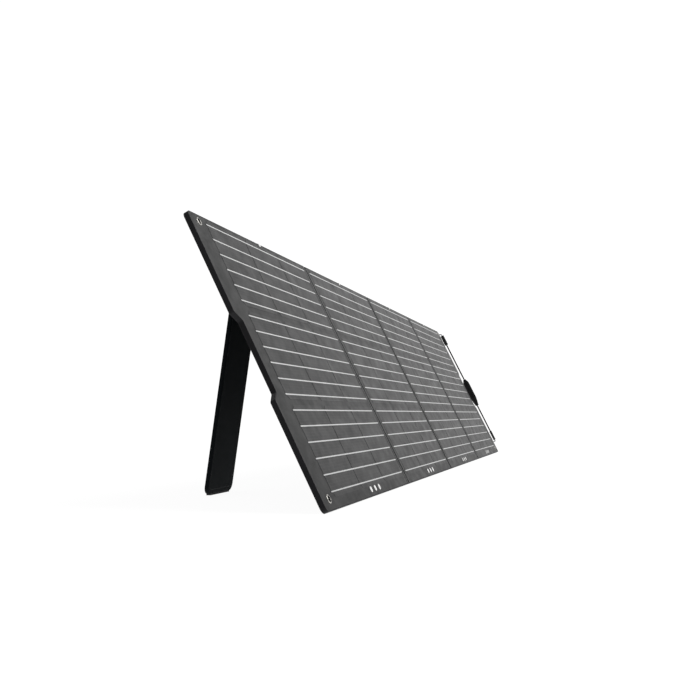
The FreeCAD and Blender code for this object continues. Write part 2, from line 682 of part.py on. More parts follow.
def write_panels():
    """The four panels, each a tray, a core, a front sheet, cells, ribbons and pads."""
    side_screws = lug_screws()
    cutters = {0: bracket_screws(leg_middle(-1)), 3: bracket_screws(leg_middle(1)) + side_screws}
    for index in range(len(SPANS)):
        tag = str(index + 1)
        save("shell_" + tag, [stand(panel_shell(index, cutters.get(index, [])))])
        save("core_" + tag, [stand(panel_core(index))])
        save("sheet_" + tag, [stand(panel_sheet(index))])
        save("cells_" + tag, [stand(cell) for cell in panel_cells(index)])
        save("ribbons_" + tag, [stand(ribbon) for ribbon in panel_ribbons(index)])
        save("pads_" + tag, [stand(pad) for pad in panel_pads(index)])
        rings = [stand(eyelet(x, y)) for x, y in eyelet_centres(index)]
        if rings:
            save("eyelets_" + tag, rings)


def write_folds():
    """The soft strips of the three folds: the outer two fold forwards, the middle one back."""
    save("fold_band_12", [stand(fold_band(-FOLD_PITCH, 1, -SHEET_THICK))])
    save("fold_band_23", [stand(fold_band(0.0, -1, BACK))])
    save("fold_band_34", [stand(fold_band(FOLD_PITCH, -1, -SHEET_THICK))])


def main():
    """Write every sub-part to its own file."""
    os.makedirs("parts", exist_ok=True)
    write_panels()
    write_folds()
    write_leg(-1, "left")
    write_leg(1, "right")
    write_handle()
    write_output_box()


main()
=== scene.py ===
"""Looks of a folding solar panel kit: four hinged panels that lean back on two kick-stand legs.

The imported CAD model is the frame. New pieces are modelled in millimetres in a flat working space
(X along the row of panels, Y up their slope, Z out of the glass side), and the space's matrix
then stands them up in the frame, in metres.
"""
import sys
import json
import logging
import math
from contextlib import contextmanager
from dataclasses import dataclass, field
from enum import Enum
from typing import Any, Callable, Iterator, Sequence

import bmesh
import bpy
from bpy.types import Material, Node, NodeTree, Object
from mathutils import Matrix, Vector


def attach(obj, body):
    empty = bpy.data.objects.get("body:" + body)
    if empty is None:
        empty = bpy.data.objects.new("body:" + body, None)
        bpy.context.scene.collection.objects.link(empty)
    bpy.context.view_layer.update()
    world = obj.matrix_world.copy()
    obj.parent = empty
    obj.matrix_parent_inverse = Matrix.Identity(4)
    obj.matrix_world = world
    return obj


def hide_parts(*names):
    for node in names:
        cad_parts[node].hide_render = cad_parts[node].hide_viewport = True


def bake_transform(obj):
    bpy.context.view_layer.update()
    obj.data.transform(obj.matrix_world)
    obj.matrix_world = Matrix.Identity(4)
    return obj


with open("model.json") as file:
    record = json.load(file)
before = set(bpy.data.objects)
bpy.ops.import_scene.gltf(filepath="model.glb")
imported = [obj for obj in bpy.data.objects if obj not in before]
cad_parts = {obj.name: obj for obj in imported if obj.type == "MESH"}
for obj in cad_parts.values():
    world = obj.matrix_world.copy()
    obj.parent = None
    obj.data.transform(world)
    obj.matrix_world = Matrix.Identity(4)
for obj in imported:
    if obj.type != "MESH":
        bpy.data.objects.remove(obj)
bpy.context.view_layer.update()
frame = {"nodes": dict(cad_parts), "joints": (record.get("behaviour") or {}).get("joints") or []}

log = logging.getLogger("solar_kit")

MM_PER_METRE = 1000.0
WAVE_SCALE = 0.31416  # a wave texture of this scale has bands 1 unit apart
PANEL_LEAN = 63.5  # slope of the panels, in degrees, for patterns that lie square on them
LEG_LEAN = 97.9  # the same for the legs
SMOOTH_ANGLE = 35  # edges sharper than this, in degrees, stay sharp

Point = tuple[float, float]


class Pick(Enum):
    """What an edit-mode selection is made of."""

    VERTS = "VERT"
    EDGES = "EDGE"
    FACES = "FACE"


class Side(Enum):
    """The two ends of the row of panels."""

    LEFT = -1
    RIGHT = 1


class Facing(Enum):
    """Where a turned piece's own Z axis points in its working space."""

    FRONT = Matrix.Identity(4)
    BACK = Matrix.Rotation(math.pi, 4, "X")
    UP_SLOPE = Matrix.Rotation(-math.pi / 2, 4, "X")
    DOWN_SLOPE = Matrix.Rotation(math.pi / 2, 4, "X")
    OUTWARD = Matrix.Rotation(math.pi / 2, 4, "Y")


# --- Modelling ---


def settle(piece: Object) -> None:
    """Take an object's placement into its mesh."""
    pick(piece)
    bpy.ops.object.transform_apply(location=True, rotation=True, scale=True)


def pick(piece: Object) -> None:
    """Select one object alone and make it the active one.

    Args:
        piece: the object to work on.
    """
    bpy.ops.object.select_all(action="DESELECT")
    piece.select_set(True)
    bpy.context.view_layer.objects.active = piece


@contextmanager
def editing(piece: Object) -> Iterator[None]:
    """Work on one mesh in edit mode.

    Args:
        piece: the mesh object to edit.
    """
    pick(piece)
    bpy.ops.object.mode_set(mode="EDIT")
    yield
    bpy.ops.object.mode_set(mode="OBJECT")


def select_whole() -> None:
    """Select the whole mesh, in edit mode."""
    bpy.ops.mesh.select_all(action="SELECT")


def choose(piece: Object, kind: Pick, test: Callable[[Any], bool]) -> None:
    """Select the vertices, edges or faces that pass a test, in edit mode.

    Args:
        piece: the mesh object that is in edit mode.
        kind: what to select.
        test: says whether one bmesh element is wanted.
    """
    bpy.ops.mesh.select_mode(type=kind.value)
    bpy.ops.mesh.select_all(action="DESELECT")
    mesh = bmesh.from_edit_mesh(piece.data)
    elements = {Pick.VERTS: mesh.verts, Pick.EDGES: mesh.edges, Pick.FACES: mesh.faces}[kind]
    for element in elements:
        element.select_set(bool(test(element)))
    mesh.select_flush_mode()
    bmesh.update_edit_mesh(piece.data)


def add_and_apply(piece: Object, kind: str, settings: dict[str, Any]) -> None:
    """Give a mesh a modifier and apply it.

    Args:
        piece: the mesh object.
        kind: Blender's name of the modifier type.
        settings: the modifier's values by property name.
    """
    pick(piece)
    modifier = piece.modifiers.new(kind.lower(), kind)
    for key, value in settings.items():
        setattr(modifier, key, value)
    bpy.ops.object.modifier_apply(modifier=modifier.name)


def soften(piece: Object, width: float, segments: int) -> None:
    """Round every sharp edge of a mesh."""
    settings = {"width": width, "segments": segments, "limit_method": "ANGLE"}
    add_and_apply(piece, "BEVEL", settings)


def thicken(piece: Object, thickness: float) -> None:
    """Give a surface a thickness, half to each side."""
    add_and_apply(piece, "SOLIDIFY", {"thickness": thickness, "offset": 0.0})


def draw_chain(name: str, points: Sequence[Point], closed: bool) -> Object:
    """Draw a chain of edges by pulling one vertex from point to point.

    Args:
        name: name of the new object.
        points: where the chain goes, in its own XY plane.
        closed: whether the last point joins the first.

    Returns:
        The chain, as a mesh object with edges only.
    """
    bpy.ops.mesh.primitive_plane_add(size=1.0)
    chain = bpy.context.object
    chain.name = name
    with editing(chain):
        bpy.ops.mesh.select_mode(type=Pick.VERTS.value)
        bpy.ops.mesh.merge(type="CENTER")
        bpy.ops.transform.translate(value=(*points[0], 0.0))
        for here, there in zip(points, points[1:]):
            step = (there[0] - here[0], there[1] - here[1], 0.0)
            bpy.ops.mesh.extrude_vertices_move(TRANSFORM_OT_translate={"value": step})
        if closed:
            choose(chain, Pick.VERTS, lambda v: len(v.link_edges) == 1)
            bpy.ops.mesh.edge_face_add()
    return chain


def turn_piece(name: str, profile: Sequence[Point], steps: int = 40) -> Object:
    """Turn a profile about Z, as on a lathe.

    Args:
        name: name of the new object.
        profile: radius and height of each corner, from one end to the other.
        steps: how many flats the turned surface has.

    Returns:
        The turned mesh, closed wherever the profile meets the axis or itself.
    """
    piece = draw_chain(name, profile, closed=False)
    with editing(piece):
        select_whole()
        bpy.ops.transform.rotate(value=-math.pi / 2, orient_axis="X", center_override=(0, 0, 0))
        bpy.ops.mesh.spin(steps=steps, angle=math.tau, center=(0, 0, 0), axis=(0, 0, 1))
        select_whole()
        bpy.ops.mesh.remove_doubles(threshold=0.001)
        bpy.ops.mesh.normals_make_consistent(inside=False)
    return piece


def copy_to(piece: Object, places: Sequence[Matrix], name: str) -> Object:
    """Copy a piece to several places, each copy with its own mesh, and join the copies.

    Args:
        piece: the piece, modelled once about the origin; it is used up.
        places: where each copy goes.
        name: name of the joined object.

    Returns:
        All the copies as one object.
    """
    copies = []
    for place in places:
        pick(piece)
        bpy.ops.object.duplicate(linked=False)
        copy = bpy.context.object
        copy.matrix_world = place @ copy.matrix_world
        copies.append(copy)
    bpy.data.objects.remove(piece)
    joined = join(copies, name)
    settle(joined)
    return joined


def join(pieces: Sequence[Object], name: str) -> Object:
    """Join several meshes into one object.

    Args:
        pieces: the meshes, which are used up.
        name: name of the joined object.

    Returns:
        The joined object.
    """
    pick(pieces[0])
    for piece in pieces:
        piece.select_set(True)
    bpy.ops.object.join()
    pieces[0].name = name
    return pieces[0]


@dataclass(frozen=True)
class Space:
    """A flat working space in millimetres.

    Attributes:
        matrix: carries a point of the space to the standing frame, in metres.
    """

    matrix: Matrix

    @classmethod
    def of_panels(cls) -> "Space":
        """Find the panels' own flat space from the frame.

        Returns:
            The space with X = 0 on the middle fold, Y = 0 on the bottom edge and Z = 0 on the
            front surface.
        """
        fold = next(joint for joint in frame["joints"] if joint["name"] == "fold_23")
        lean = math.atan2(fold["axis"][2], fold["axis"][1])
        tilted = Matrix.Rotation(lean, 4, "X") @ Matrix.Scale(1 / MM_PER_METRE, 4)
        low, high = cls(tilted).box("shell_2")
        origin = Vector((fold["pos_m"][0] * MM_PER_METRE, low.y, high.z))
        return cls(tilted @ Matrix.Translation(origin))

    def box(self, node: str) -> tuple[Vector, Vector]:
        """Measure a CAD node in this space.

        Args:
            node: name of the CAD node.

        Returns:
            Its lowest and highest corners, in millimetres.
        """
        inverse = self.matrix.inverted()
        points = [inverse @ vertex.co for vertex in frame["nodes"][node].data.vertices]
        low = Vector([min(point[axis] for point in points) for axis in range(3)])
        high = Vector([max(point[axis] for point in points) for axis in range(3)])
        return low, high

    def turned_at(self, joint: str, axis: str, degrees: float) -> "Space":
        """Turn the space about a joint's position.

        Args:
            joint: name of the joint that is the pivot.
            axis: the space's own axis to turn about, "X" or "Y".
            degrees: how far.

        Returns:
            The turned space, in which a part that stands swung out lies flat again.
        """
        found = next(entry for entry in frame["joints"] if entry["name"] == joint)
        pivot = Matrix.Translation(self.matrix.inverted() @ Vector(found["pos_m"]))
        turn = Matrix.Rotation(math.radians(degrees), 4, axis)
        return Space(self.matrix @ pivot @ turn @ pivot.inverted())

    def stand(self, piece: Object) -> None:
        """Carry a finished piece to the standing frame and leave its object at the origin.

        Args:
            piece: a mesh modelled in this space's millimetres.
        """
        piece.matrix_world = self.matrix @ piece.matrix_world
        settle(piece)


def place(x: float, y: float, z: float, facing: Facing = Facing.FRONT) -> Matrix:
    """Where one copy of a piece goes.

    Args:
        x: along the row of panels.
        y: up the slope.
        z: out of the front.
        facing: where the piece's own Z axis points.

    Returns:
        The matrix that puts it there.
    """
    return Matrix.Translation((x, y, z)) @ facing.value


# --- Finishes ---


def linear(colour: str) -> tuple[float, float, float, float]:
    """Turn an sRGB hex colour into the linear values a shader takes.

    Args:
        colour: six hex digits after a hash sign.

    Returns:
        Linear red, green and blue, with full alpha.
    """
    values = [int(colour[start:start + 2], 16) / 255 for start in (1, 3, 5)]
    red, green, blue = (
        value / 12.92 if value <= 0.04045 else ((value + 0.055) / 1.055) ** 2.4
        for value in values
    )
    return (red, green, blue, 1.0)


def add_node(tree: NodeTree, kind: str, settings: dict[Any, Any], links: dict[Any, Any]) -> Node:
    """Add one shader node with its settings and links.

    Args:
        tree: the tree that gets the node.
        kind: Blender's name of the node type.
        settings: values by input name or number, or by property name in lower case.
        links: output sockets by the name or number of the input they feed.

    Returns:
        The new node.
    """
    node = tree.nodes.new(kind)
    for key, value in settings.items():
        if isinstance(key, str) and key[0].islower():
            setattr(node, key, value)
        else:
            node.inputs[key].default_value = value
    for key, socket in links.items():
        tree.links.new(socket, node.inputs[key])
    return node


@dataclass(frozen=True)
class Finish:
    """What every finish shares.

    Attributes:
        name: what the material is and how its surface was made.
        colour: main colour.
        shade: second colour, which the main one drifts to; in OpenCells it is the painted shade
            inside the cells.
        roughness: middle of the surface's roughness.
        lean: how far the piece stands turned about X, in degrees, so that the pattern lies square.
    """

    name: str
    colour: str
    shade: str
    roughness: float
    lean: float = PANEL_LEAN

    def material(self) -> Material:
        """Make the material, or find it if it was made before.

        Returns:
            The material, with its pattern in millimetres square to the piece.
        """
        ready = bpy.data.materials.get(self.name)
        if ready is not None:
            return ready
        made = bpy.data.materials.new(self.name)
        made.use_nodes = True
        tree = made.node_tree
        where = add_node(tree, "ShaderNodeTexCoord", {}, {})
        mapping = add_node(
            tree, "ShaderNodeMapping",
            {
                "Scale": (MM_PER_METRE,) * 3, "Rotation": (-math.radians(self.lean), 0.0, 0.0),
                "Location": (0.31, 0.17, 0.23),
            },
            {"Vector": where.outputs["Object"]},
        )
        shader = tree.nodes["Principled BSDF"]
        shader.inputs["Roughness"].default_value = self.roughness
        self.paint(tree, shader, mapping.outputs["Vector"])
        return made

    def lay(
        self, tree: NodeTree, shader: Node, colour: Any, height: Any, strength: float,
        depth: float, wear: Any = None, swing: Point = (0.0, 0.0), invert: bool = False,
    ) -> None:
        """Lay a colour, a relief and an uneven gloss on the shader.

        Args:
            tree: the material's tree.
            shader: the surface shader.
            colour: the colour socket.
            height: the socket that gives the relief.
            strength: strength of the relief.
            depth: its depth in millimetres.
            wear: the noise socket that the roughness follows, if it varies.
            swing: how far the roughness goes below and above its middle.
            invert: whether high values of the relief lie deep.
        """
        tree.links.new(colour, shader.inputs["Base Color"])
        if wear is not None:
            least, most = max(self.roughness - swing[0], 0.05), self.roughness + swing[1]
            gloss = add_node(
                tree, "ShaderNodeMapRange",
                {"From Min": 0.3, "From Max": 0.7, "To Min": least, "To Max": most},
                {"Value": wear},
            )
            tree.links.new(gloss.outputs["Result"], shader.inputs["Roughness"])
        relief = add_node(
            tree, "ShaderNodeBump",
            {"Strength": strength, "Distance": depth / MM_PER_METRE, "invert": invert},
            {"Height": height},
        )
        tree.links.new(relief.outputs["Normal"], shader.inputs["Normal"])

    def paint(self, tree: NodeTree, shader: Node, where: Any) -> None:
        """Lay the colour, roughness and relief on the shader; each finish has its own way.

        Args:
            tree: the material's tree.
            shader: the surface shader.
            where: the pattern's coordinates, in millimetres.
        """
        raise NotImplementedError


def drift(tree: NodeTree, finish: Finish, where: Any, patch: float, spread: float = 0.25) -> Any:
    """Let the colour wander between a finish's two colours in soft patches.

    Args:
        tree: the material's tree.
        finish: the finish that names the two colours.
        where: the pattern's coordinates, in millimetres.
        patch: size of one patch in millimetres.
        spread: half the width of the noise values that the change runs over.

    Returns:
        The colour socket.
    """
    cloud = add_node(
        tree, "ShaderNodeTexNoise", {"Scale": 1.0 / patch, "Detail": 5.0, "Roughness": 0.6},
        {"Vector": where},
    )
    blend = add_node(
        tree, "ShaderNodeMapRange", {"From Min": 0.5 - spread, "From Max": 0.5 + spread},
        {"Value": cloud.outputs["Fac"]},
    )
    colours = add_node(
        tree, "ShaderNodeMix",
        {"data_type": "RGBA", 6: linear(finish.colour), 7: linear(finish.shade)},
        {0: blend.outputs["Result"]},
    )
    return colours.outputs[2]


@dataclass(frozen=True)
class EmbossedFilm(Finish):
    """Hot-pressed fluoropolymer film.

    Attributes:
        dimple: spacing of the pressed dimples in millimetres; the real ones are about 0.9, and
            they are drawn coarser so that they show.
        depth: depth of a dimple in millimetres.
        specular: strength of the skin's reflection.
        finger: spacing of the silver finger lines that show through, or 0 for none.
        metal: colour of the finger lines.
    """

    dimple: float = 2.2
    depth: float = 0.05
    specular: float = 0.35
    finger: float = 0.0
    metal: str = "#3C3C3D"

    def paint(self, tree: NodeTree, shader: Node, where: Any) -> None:
        """Cloudy dark ground, faint finger lines, dimples and uneven sheen.

        Args:
            tree: the material's tree.
            shader: the surface shader.
            where: the pattern's coordinates, in millimetres.
        """
        colour = drift(tree, self, where, patch=140.0)
        if self.finger:
            lines = add_node(
                tree, "ShaderNodeTexWave",
                {"bands_direction": "Y", "Scale": WAVE_SCALE / self.finger}, {"Vector": where},
            )
            thin = add_node(
                tree, "ShaderNodeMapRange", {"From Min": 0.86, "From Max": 1.0, "To Max": 0.5},
                {"Value": lines.outputs["Fac"]},
            )
            ruled = add_node(
                tree, "ShaderNodeMix", {"data_type": "RGBA", 7: linear(self.metal)},
                {0: thin.outputs["Result"], 6: colour},
            )
            colour = ruled.outputs[2]
        scuff = add_node(
            tree, "ShaderNodeTexNoise", {"Scale": 1 / 35.0, "Detail": 6.0, "Roughness": 0.65},
            {"Vector": where},
        )
        cups = add_node(
            tree, "ShaderNodeTexVoronoi",
            {"feature": "SMOOTH_F1", "Scale": 1 / self.dimple, "Smoothness": 0.6},
            {"Vector": where},
        )
        height, wear = cups.outputs["Distance"], scuff.outputs["Fac"]
        self.lay(tree, shader, colour, height, 0.5, self.depth, wear, (0.06, 0.08))
        shader.inputs["Specular IOR Level"].default_value = self.specular
        shader.inputs["IOR"].default_value = 1.4


@dataclass(frozen=True)
class PlainMetal(Finish):
    """Bare or plated metal with marks of how it was worked.

    Attributes:
        grain: spacing of the drawing or brushing lines in millimetres.
        stretch: how much longer a line is than it is wide, along each axis.
        depth: depth of the lines in millimetres.
        metallic: 1 for bare metal; a little less where a flux film dulls it.
    """

    grain: float = 0.8
    stretch: tuple[float, float, float] = (0.05, 1.0, 1.0)
    depth: float = 0.02
    metallic: float = 1.0

    def paint(self, tree: NodeTree, shader: Node, where: Any) -> None:
        """Two close tones, lines along the work and uneven gloss.

        Args:
            tree: the material's tree.
            shader: the surface shader.
            where: the pattern's coordinates, in millimetres.
        """
        shader.inputs["Metallic"].default_value = self.metallic
        along = add_node(tree, "ShaderNodeMapping", {"Scale": self.stretch}, {"Vector": where})
        lines = add_node(
            tree, "ShaderNodeTexNoise", {"Scale": 1 / self.grain, "Detail": 4.0, "Roughness": 0.7},
            {"Vector": along.outputs["Vector"]},
        )
        colour, marks = drift(tree, self, where, patch=14.0), lines.outputs["Fac"]
        self.lay(tree, shader, colour, marks, 0.4, self.depth, marks, (0.08, 0.1))


@dataclass(frozen=True)
class WovenCloth(Finish):
    """Plain-woven synthetic cloth.

    Attributes:
        thread: spacing of the threads in millimetres, drawn coarser than the real 0.5 so that
            the weave shows.
        depth: how far a thread stands proud, in millimetres.
        sheen: strength of the soft light that fibres catch at a glancing angle.
        specular: strength of the coating's reflection.
    """

    thread: float = 1.6
    depth: float = 0.25
    sheen: float = 0.1
    specular: float = 0.2

    def paint(self, tree: NodeTree, shader: Node, where: Any) -> None:
        """Over-and-under threads, worn tone patches and slubs, with painted shade in the valleys
        between threads and a painted highlight on their tops.

        Args:
            tree: the material's tree.
            shader: the surface shader.
            where: the pattern's coordinates, in millimetres.
        """
        warp, weft = (
            add_node(
                tree, "ShaderNodeTexWave",
                {"bands_direction": axis, "Scale": WAVE_SCALE / self.thread}, {"Vector": where},
            )
            for axis in "XY"
        )
        over = add_node(tree, "ShaderNodeTexChecker", {"Scale": 1 / self.thread}, {"Vector": where})
        weave = add_node(
            tree, "ShaderNodeMix", {},
            {0: over.outputs["Fac"], 2: warp.outputs["Fac"], 3: weft.outputs["Fac"]},
        )
        slub = add_node(
            tree, "ShaderNodeTexNoise", {"Scale": 1 / 3.5, "Detail": 3.0}, {"Vector": where},
        )
        height = add_node(
            tree, "ShaderNodeMath", {"operation": "MULTIPLY"},
            {0: weave.outputs[0], 1: slub.outputs["Fac"]},
        )
        # Painted shade and highlight: the colour is darkened where the weave lies low and lightened
        # where it stands high.
        weave_shade_and_highlight = add_node(
            tree, "ShaderNodeMapRange", {"To Min": 0.55, "To Max": 1.15},
            {"Value": weave.outputs[0]},
        )
        tone_with_painted_shade = add_node(
            tree, "ShaderNodeMix", {"data_type": "RGBA", "blend_type": "MULTIPLY", 0: 1.0},
            {6: drift(tree, self, where, patch=60.0), 7: weave_shade_and_highlight.outputs["Result"]},
        )
        self.lay(tree, shader, tone_with_painted_shade.outputs[2], height.outputs["Value"], 0.7, self.depth)
        shader.inputs["Sheen Weight"].default_value = self.sheen
        shader.inputs["Sheen Roughness"].default_value = 0.5
        shader.inputs["Specular IOR Level"].default_value = self.specular


@dataclass(frozen=True)
class MouldedPlastic(Finish):
    """Injection-moulded or compressed polymer with a spark-eroded grain.

    Attributes:
        grain: size of a grain pit in millimetres.
        depth: depth of a pit in millimetres.
        specular: strength of the skin's reflection.
    """

    grain: float = 0.9
    depth: float = 0.05
    specular: float = 0.4

    def paint(self, tree: NodeTree, shader: Node, where: Any) -> None:
        """Two close tones, fine pits and handled, slightly glossier patches.

        Args:
            tree: the material's tree.
            shader: the surface shader.
            where: the pattern's coordinates, in millimetres.
        """
        pits = add_node(
            tree, "ShaderNodeTexNoise", {"Scale": 1 / self.grain, "Detail": 3.0, "Roughness": 0.55},
            {"Vector": where},
        )
        handled = add_node(
            tree, "ShaderNodeTexNoise", {"Scale": 1 / 18.0, "Detail": 4.0}, {"Vector": where},
        )
        colour, height = drift(tree, self, where, patch=22.0), pits.outputs["Fac"]
        wear = handled.outputs["Fac"]
        self.lay(tree, shader, colour, height, 0.5, self.depth, wear, (0.1, 0.08))
        shader.inputs["Specular IOR Level"].default_value = self.specular


@dataclass(frozen=True)
class BraidedCover(Finish):
    """Braided polyester sleeve over a core.

    Attributes:
        strand: spacing of the strands in millimetres, drawn coarser than the real 0.6.
        depth: how far a strand stands proud, in millimetres.
    """

    strand: float = 1.5
    depth: float = 0.3

    def paint(self, tree: NodeTree, shader: Node, where: Any) -> None:
        """Two sets of strands that cross on the slant.

        Args:
            tree: the material's tree.
            shader: the surface shader.
            where: the pattern's coordinates, in millimetres.
        """
        sets = []
        for slant in (math.radians(38), math.radians(-38)):
            laid = add_node(
                tree, "ShaderNodeMapping", {"Rotation": (0, 0, slant)}, {"Vector": where}
            )
            sets.append(
                add_node(
                    tree, "ShaderNodeTexWave",
                    {"bands_direction": "Y", "Scale": WAVE_SCALE / self.strand},
                    {"Vector": laid.outputs["Vector"]},
                )
            )
        crossing = add_node(
            tree, "ShaderNodeMath", {"operation": "MAXIMUM"},
            {0: sets[0].outputs["Fac"], 1: sets[1].outputs["Fac"]},
        )
        colour = drift(tree, self, where, patch=5.0)
        self.lay(tree, shader, colour, crossing.outputs["Value"], 0.8, self.depth)
        shader.inputs["Specular IOR Level"].default_value = 0.12


@dataclass(frozen=True)
class OpenCells(Finish):
    """Cellular board or foam, with painted shade inside its cells.

    Attributes:
        cell: size of one cell in millimetres.
        pit: depth of a cell in millimetres.
    """

    cell: float = 5.0
    pit: float = 0.4

    def paint(self, tree: NodeTree, shader: Node, where: Any) -> None:
        """Thin walls round cells darkened with painted shade.

        Args:
            tree: the material's tree.
            shader: the surface shader.
            where: the pattern's coordinates, in millimetres.
        """
        walls = add_node(
            tree, "ShaderNodeTexVoronoi", {"feature": "DISTANCE_TO_EDGE", "Scale": 1 / self.cell},
            {"Vector": where},
        )
        thin = add_node(
            tree, "ShaderNodeMapRange", {"From Max": 0.12}, {"Value": walls.outputs["Distance"]},
        )
        # The second colour fills each cell as painted shade in its pit.
        colours = add_node(
            tree, "ShaderNodeMix",
            {"data_type": "RGBA", 6: linear(self.colour), 7: linear(self.shade)},
            {0: thin.outputs["Result"]},
        )
        wall = thin.outputs["Result"]
        self.lay(tree, shader, colours.outputs[2], wall, 0.6, self.pit, invert=True)


# Fluoropolymer film hot-pressed on a black sheet: a quiet dark grey with a fine orange-peel grain
# that greys at a glancing angle.
FRONT_FILM = EmbossedFilm("etfe_film_pressed_black", "#141414", "#1B1B1B", 0.37, specular=0.25)
# Monocrystalline silicon under the same film: a touch lighter, ruled with hair-thin lines.
CELL_SILICON = EmbossedFilm(
    "mono_silicon_under_film", "#1D1D1D", "#252525", 0.36, finger=5.4, specular=0.28
)
# Copper ribbon dipped in tin: bright, nearly white, with long soft ripples from the dip.
TINNED_RIBBON = PlainMetal(
    "tinned_copper_ribbon", "#F4F4F2", "#E2E3E4", 0.34, grain=3.0, depth=0.04
)
# Thermoplastic urethane, moulded white: matt and slightly soft.
WHITE_PAD = MouldedPlastic("tpu_moulded_white", "#FBFBFA", "#F3F3F1", 0.5)
# Polyester cloth with a rubbery coat, bonded over the tray: near black, dull, square weave.
TRAY_CLOTH = WovenCloth("polyester_cloth_coated_black", "#121214", "#19191C", 0.78)
# The same cloth glued round the leg's board: finer and a little bluer, and also darker with no
# sheen, which paints in the shade that the leg stands in.
SHADED_LEG_CLOTH = WovenCloth(
    "polyester_cloth_leg_board", "#0D1113", "#121618", 0.74, LEG_LEAN, 1.3, sheen=0.0, specular=0.05
)
# The front film over a woven strip, left soft at the folds: the same dark grey, a little duller.
FOLD_WEB = WovenCloth(
    "woven_strip_film_coated", "#1C1C1C", "#232323", 0.42, thread=1.1, sheen=0.02, specular=0.3
)
# Polyester binding tape, ribbed across: black, and a little shinier than the tray's cloth.
BINDING = WovenCloth("polyester_tape_ribbed_black", "#151517", "#1D1D20", 0.62, thread=1.0)
# Bonded polyester thread, sewn by machine: dark grey with a slight lustre.
THREAD = WovenCloth(
    "polyester_thread_sewn", "#222226", "#2C2C31", 0.6, thread=0.6, depth=0.1, sheen=0.2
)
# Aluminium honeycomb board: pale walls round open cells, painted darker inside as painted shade;
# the tray hides it.
CORE_BOARD = OpenCells("honeycomb_board_bonded", "#B9B7AE", "#6F6C62", 0.7)
# Closed-cell foam, die-cut: dark and dull, its cells painted darker still as painted shade.
SEAL_FOAM = OpenCells("foam_seal_die_cut", "#1E1E20", "#121213", 0.9, cell=1.2)
# Brass eyelet plated with bright nickel: a warm white mirror with a few fine rubs.
NICKEL = PlainMetal("brass_plated_nickel", "#E6E3DC", "#CFCDC8", 0.2, grain=0.6, depth=0.01)
# Steel screw plated with black zinc: dark and satin.
BLACK_ZINC = PlainMetal("steel_screw_black_zinc", "#34353A", "#46474C", 0.38, grain=0.5)
# Stainless steel, drawn to wire: clear grey with lines along its length.
DRAWN_STEEL = PlainMetal("stainless_steel_drawn", "#A9AAAD", "#8C8D91", 0.3)
# Steel plate with black powder coat: low gloss and an orange-peel skin.
POWDER_COAT = MouldedPlastic("steel_powder_coated_black", "#161618", "#1D1D20", 0.5, grain=1.8)
POWDER_COAT_LEAF = MouldedPlastic(
    "steel_leaf_powder_coated", "#161618", "#1D1D20", 0.5, LEG_LEAN, grain=1.8
)
# Glass-filled nylon, moulded black: fine grain and a low sheen.
BLACK_NYLON = MouldedPlastic("nylon_moulded_black", "#101011", "#171718", 0.58, specular=0.28)
# ABS, moulded black with a spark-eroded texture: even and satin.
BLACK_ABS = MouldedPlastic("abs_moulded_black", "#17171A", "#1F1F22", 0.48, grain=0.7)
# Rubber compound, compression moulded: deep black, dull, a little dusty.
RUBBER = MouldedPlastic("rubber_compression_moulded", "#0D0D0E", "#151516", 0.72, specular=0.2)
# Braided polyester over a steel core: a slanting weave, black and slightly shiny.
BRAID = BraidedCover("polyester_braid_on_core", "#08080A", "#0E0E10", 0.7)
# Glass-epoxy board with a green mask: glossy, with a faint glass weave.
BOARD = MouldedPlastic("glass_epoxy_board_masked", "#1D4A2C", "#245634", 0.35, grain=1.2)


# --- Fitting to the frame ---


def dress(piece: Object, finish: Finish) -> None:
    """Give every face of a piece one finish.

    Args:
        piece: a new piece, or a CAD node whose mesh stays as it is.
        finish: what it is finished in.
    """
    material = finish.material()
    if not piece.material_slots:
        piece.data.materials.append(material)
    for slot in piece.material_slots:
        slot.material = material


def dress_nodes(finish: Finish, *nodes: str) -> None:
    """Dress carried-over CAD nodes and report them.

    Args:
        finish: what they are finished in.
        nodes: their names.
    """
    for node in nodes:
        dress(frame["nodes"][node], finish)
        log.info("node %s: %s", node, finish.name)


def fit(
    space: Space, piece: Object, body: str, finish: Finish, replaces: Sequence[str] = (),
) -> None:
    """Stand a piece up in the frame and finish it, riding on one body.

    Args:
        space: the space it was modelled in.
        piece: the piece.
        body: the CAD body that it rides on.
        finish: what it is finished in.
        replaces: CAD nodes that it stands for.
    """
    space.stand(piece)
    pick(piece)
    bpy.ops.object.shade_smooth_by_angle(angle=math.radians(SMOOTH_ANGLE))
    dress(piece, finish)
    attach(piece, body)
    if replaces:
        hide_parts(*replaces)
    log.info("piece %s on %s: %d faces", piece.name, body, len(piece.data.polygons))


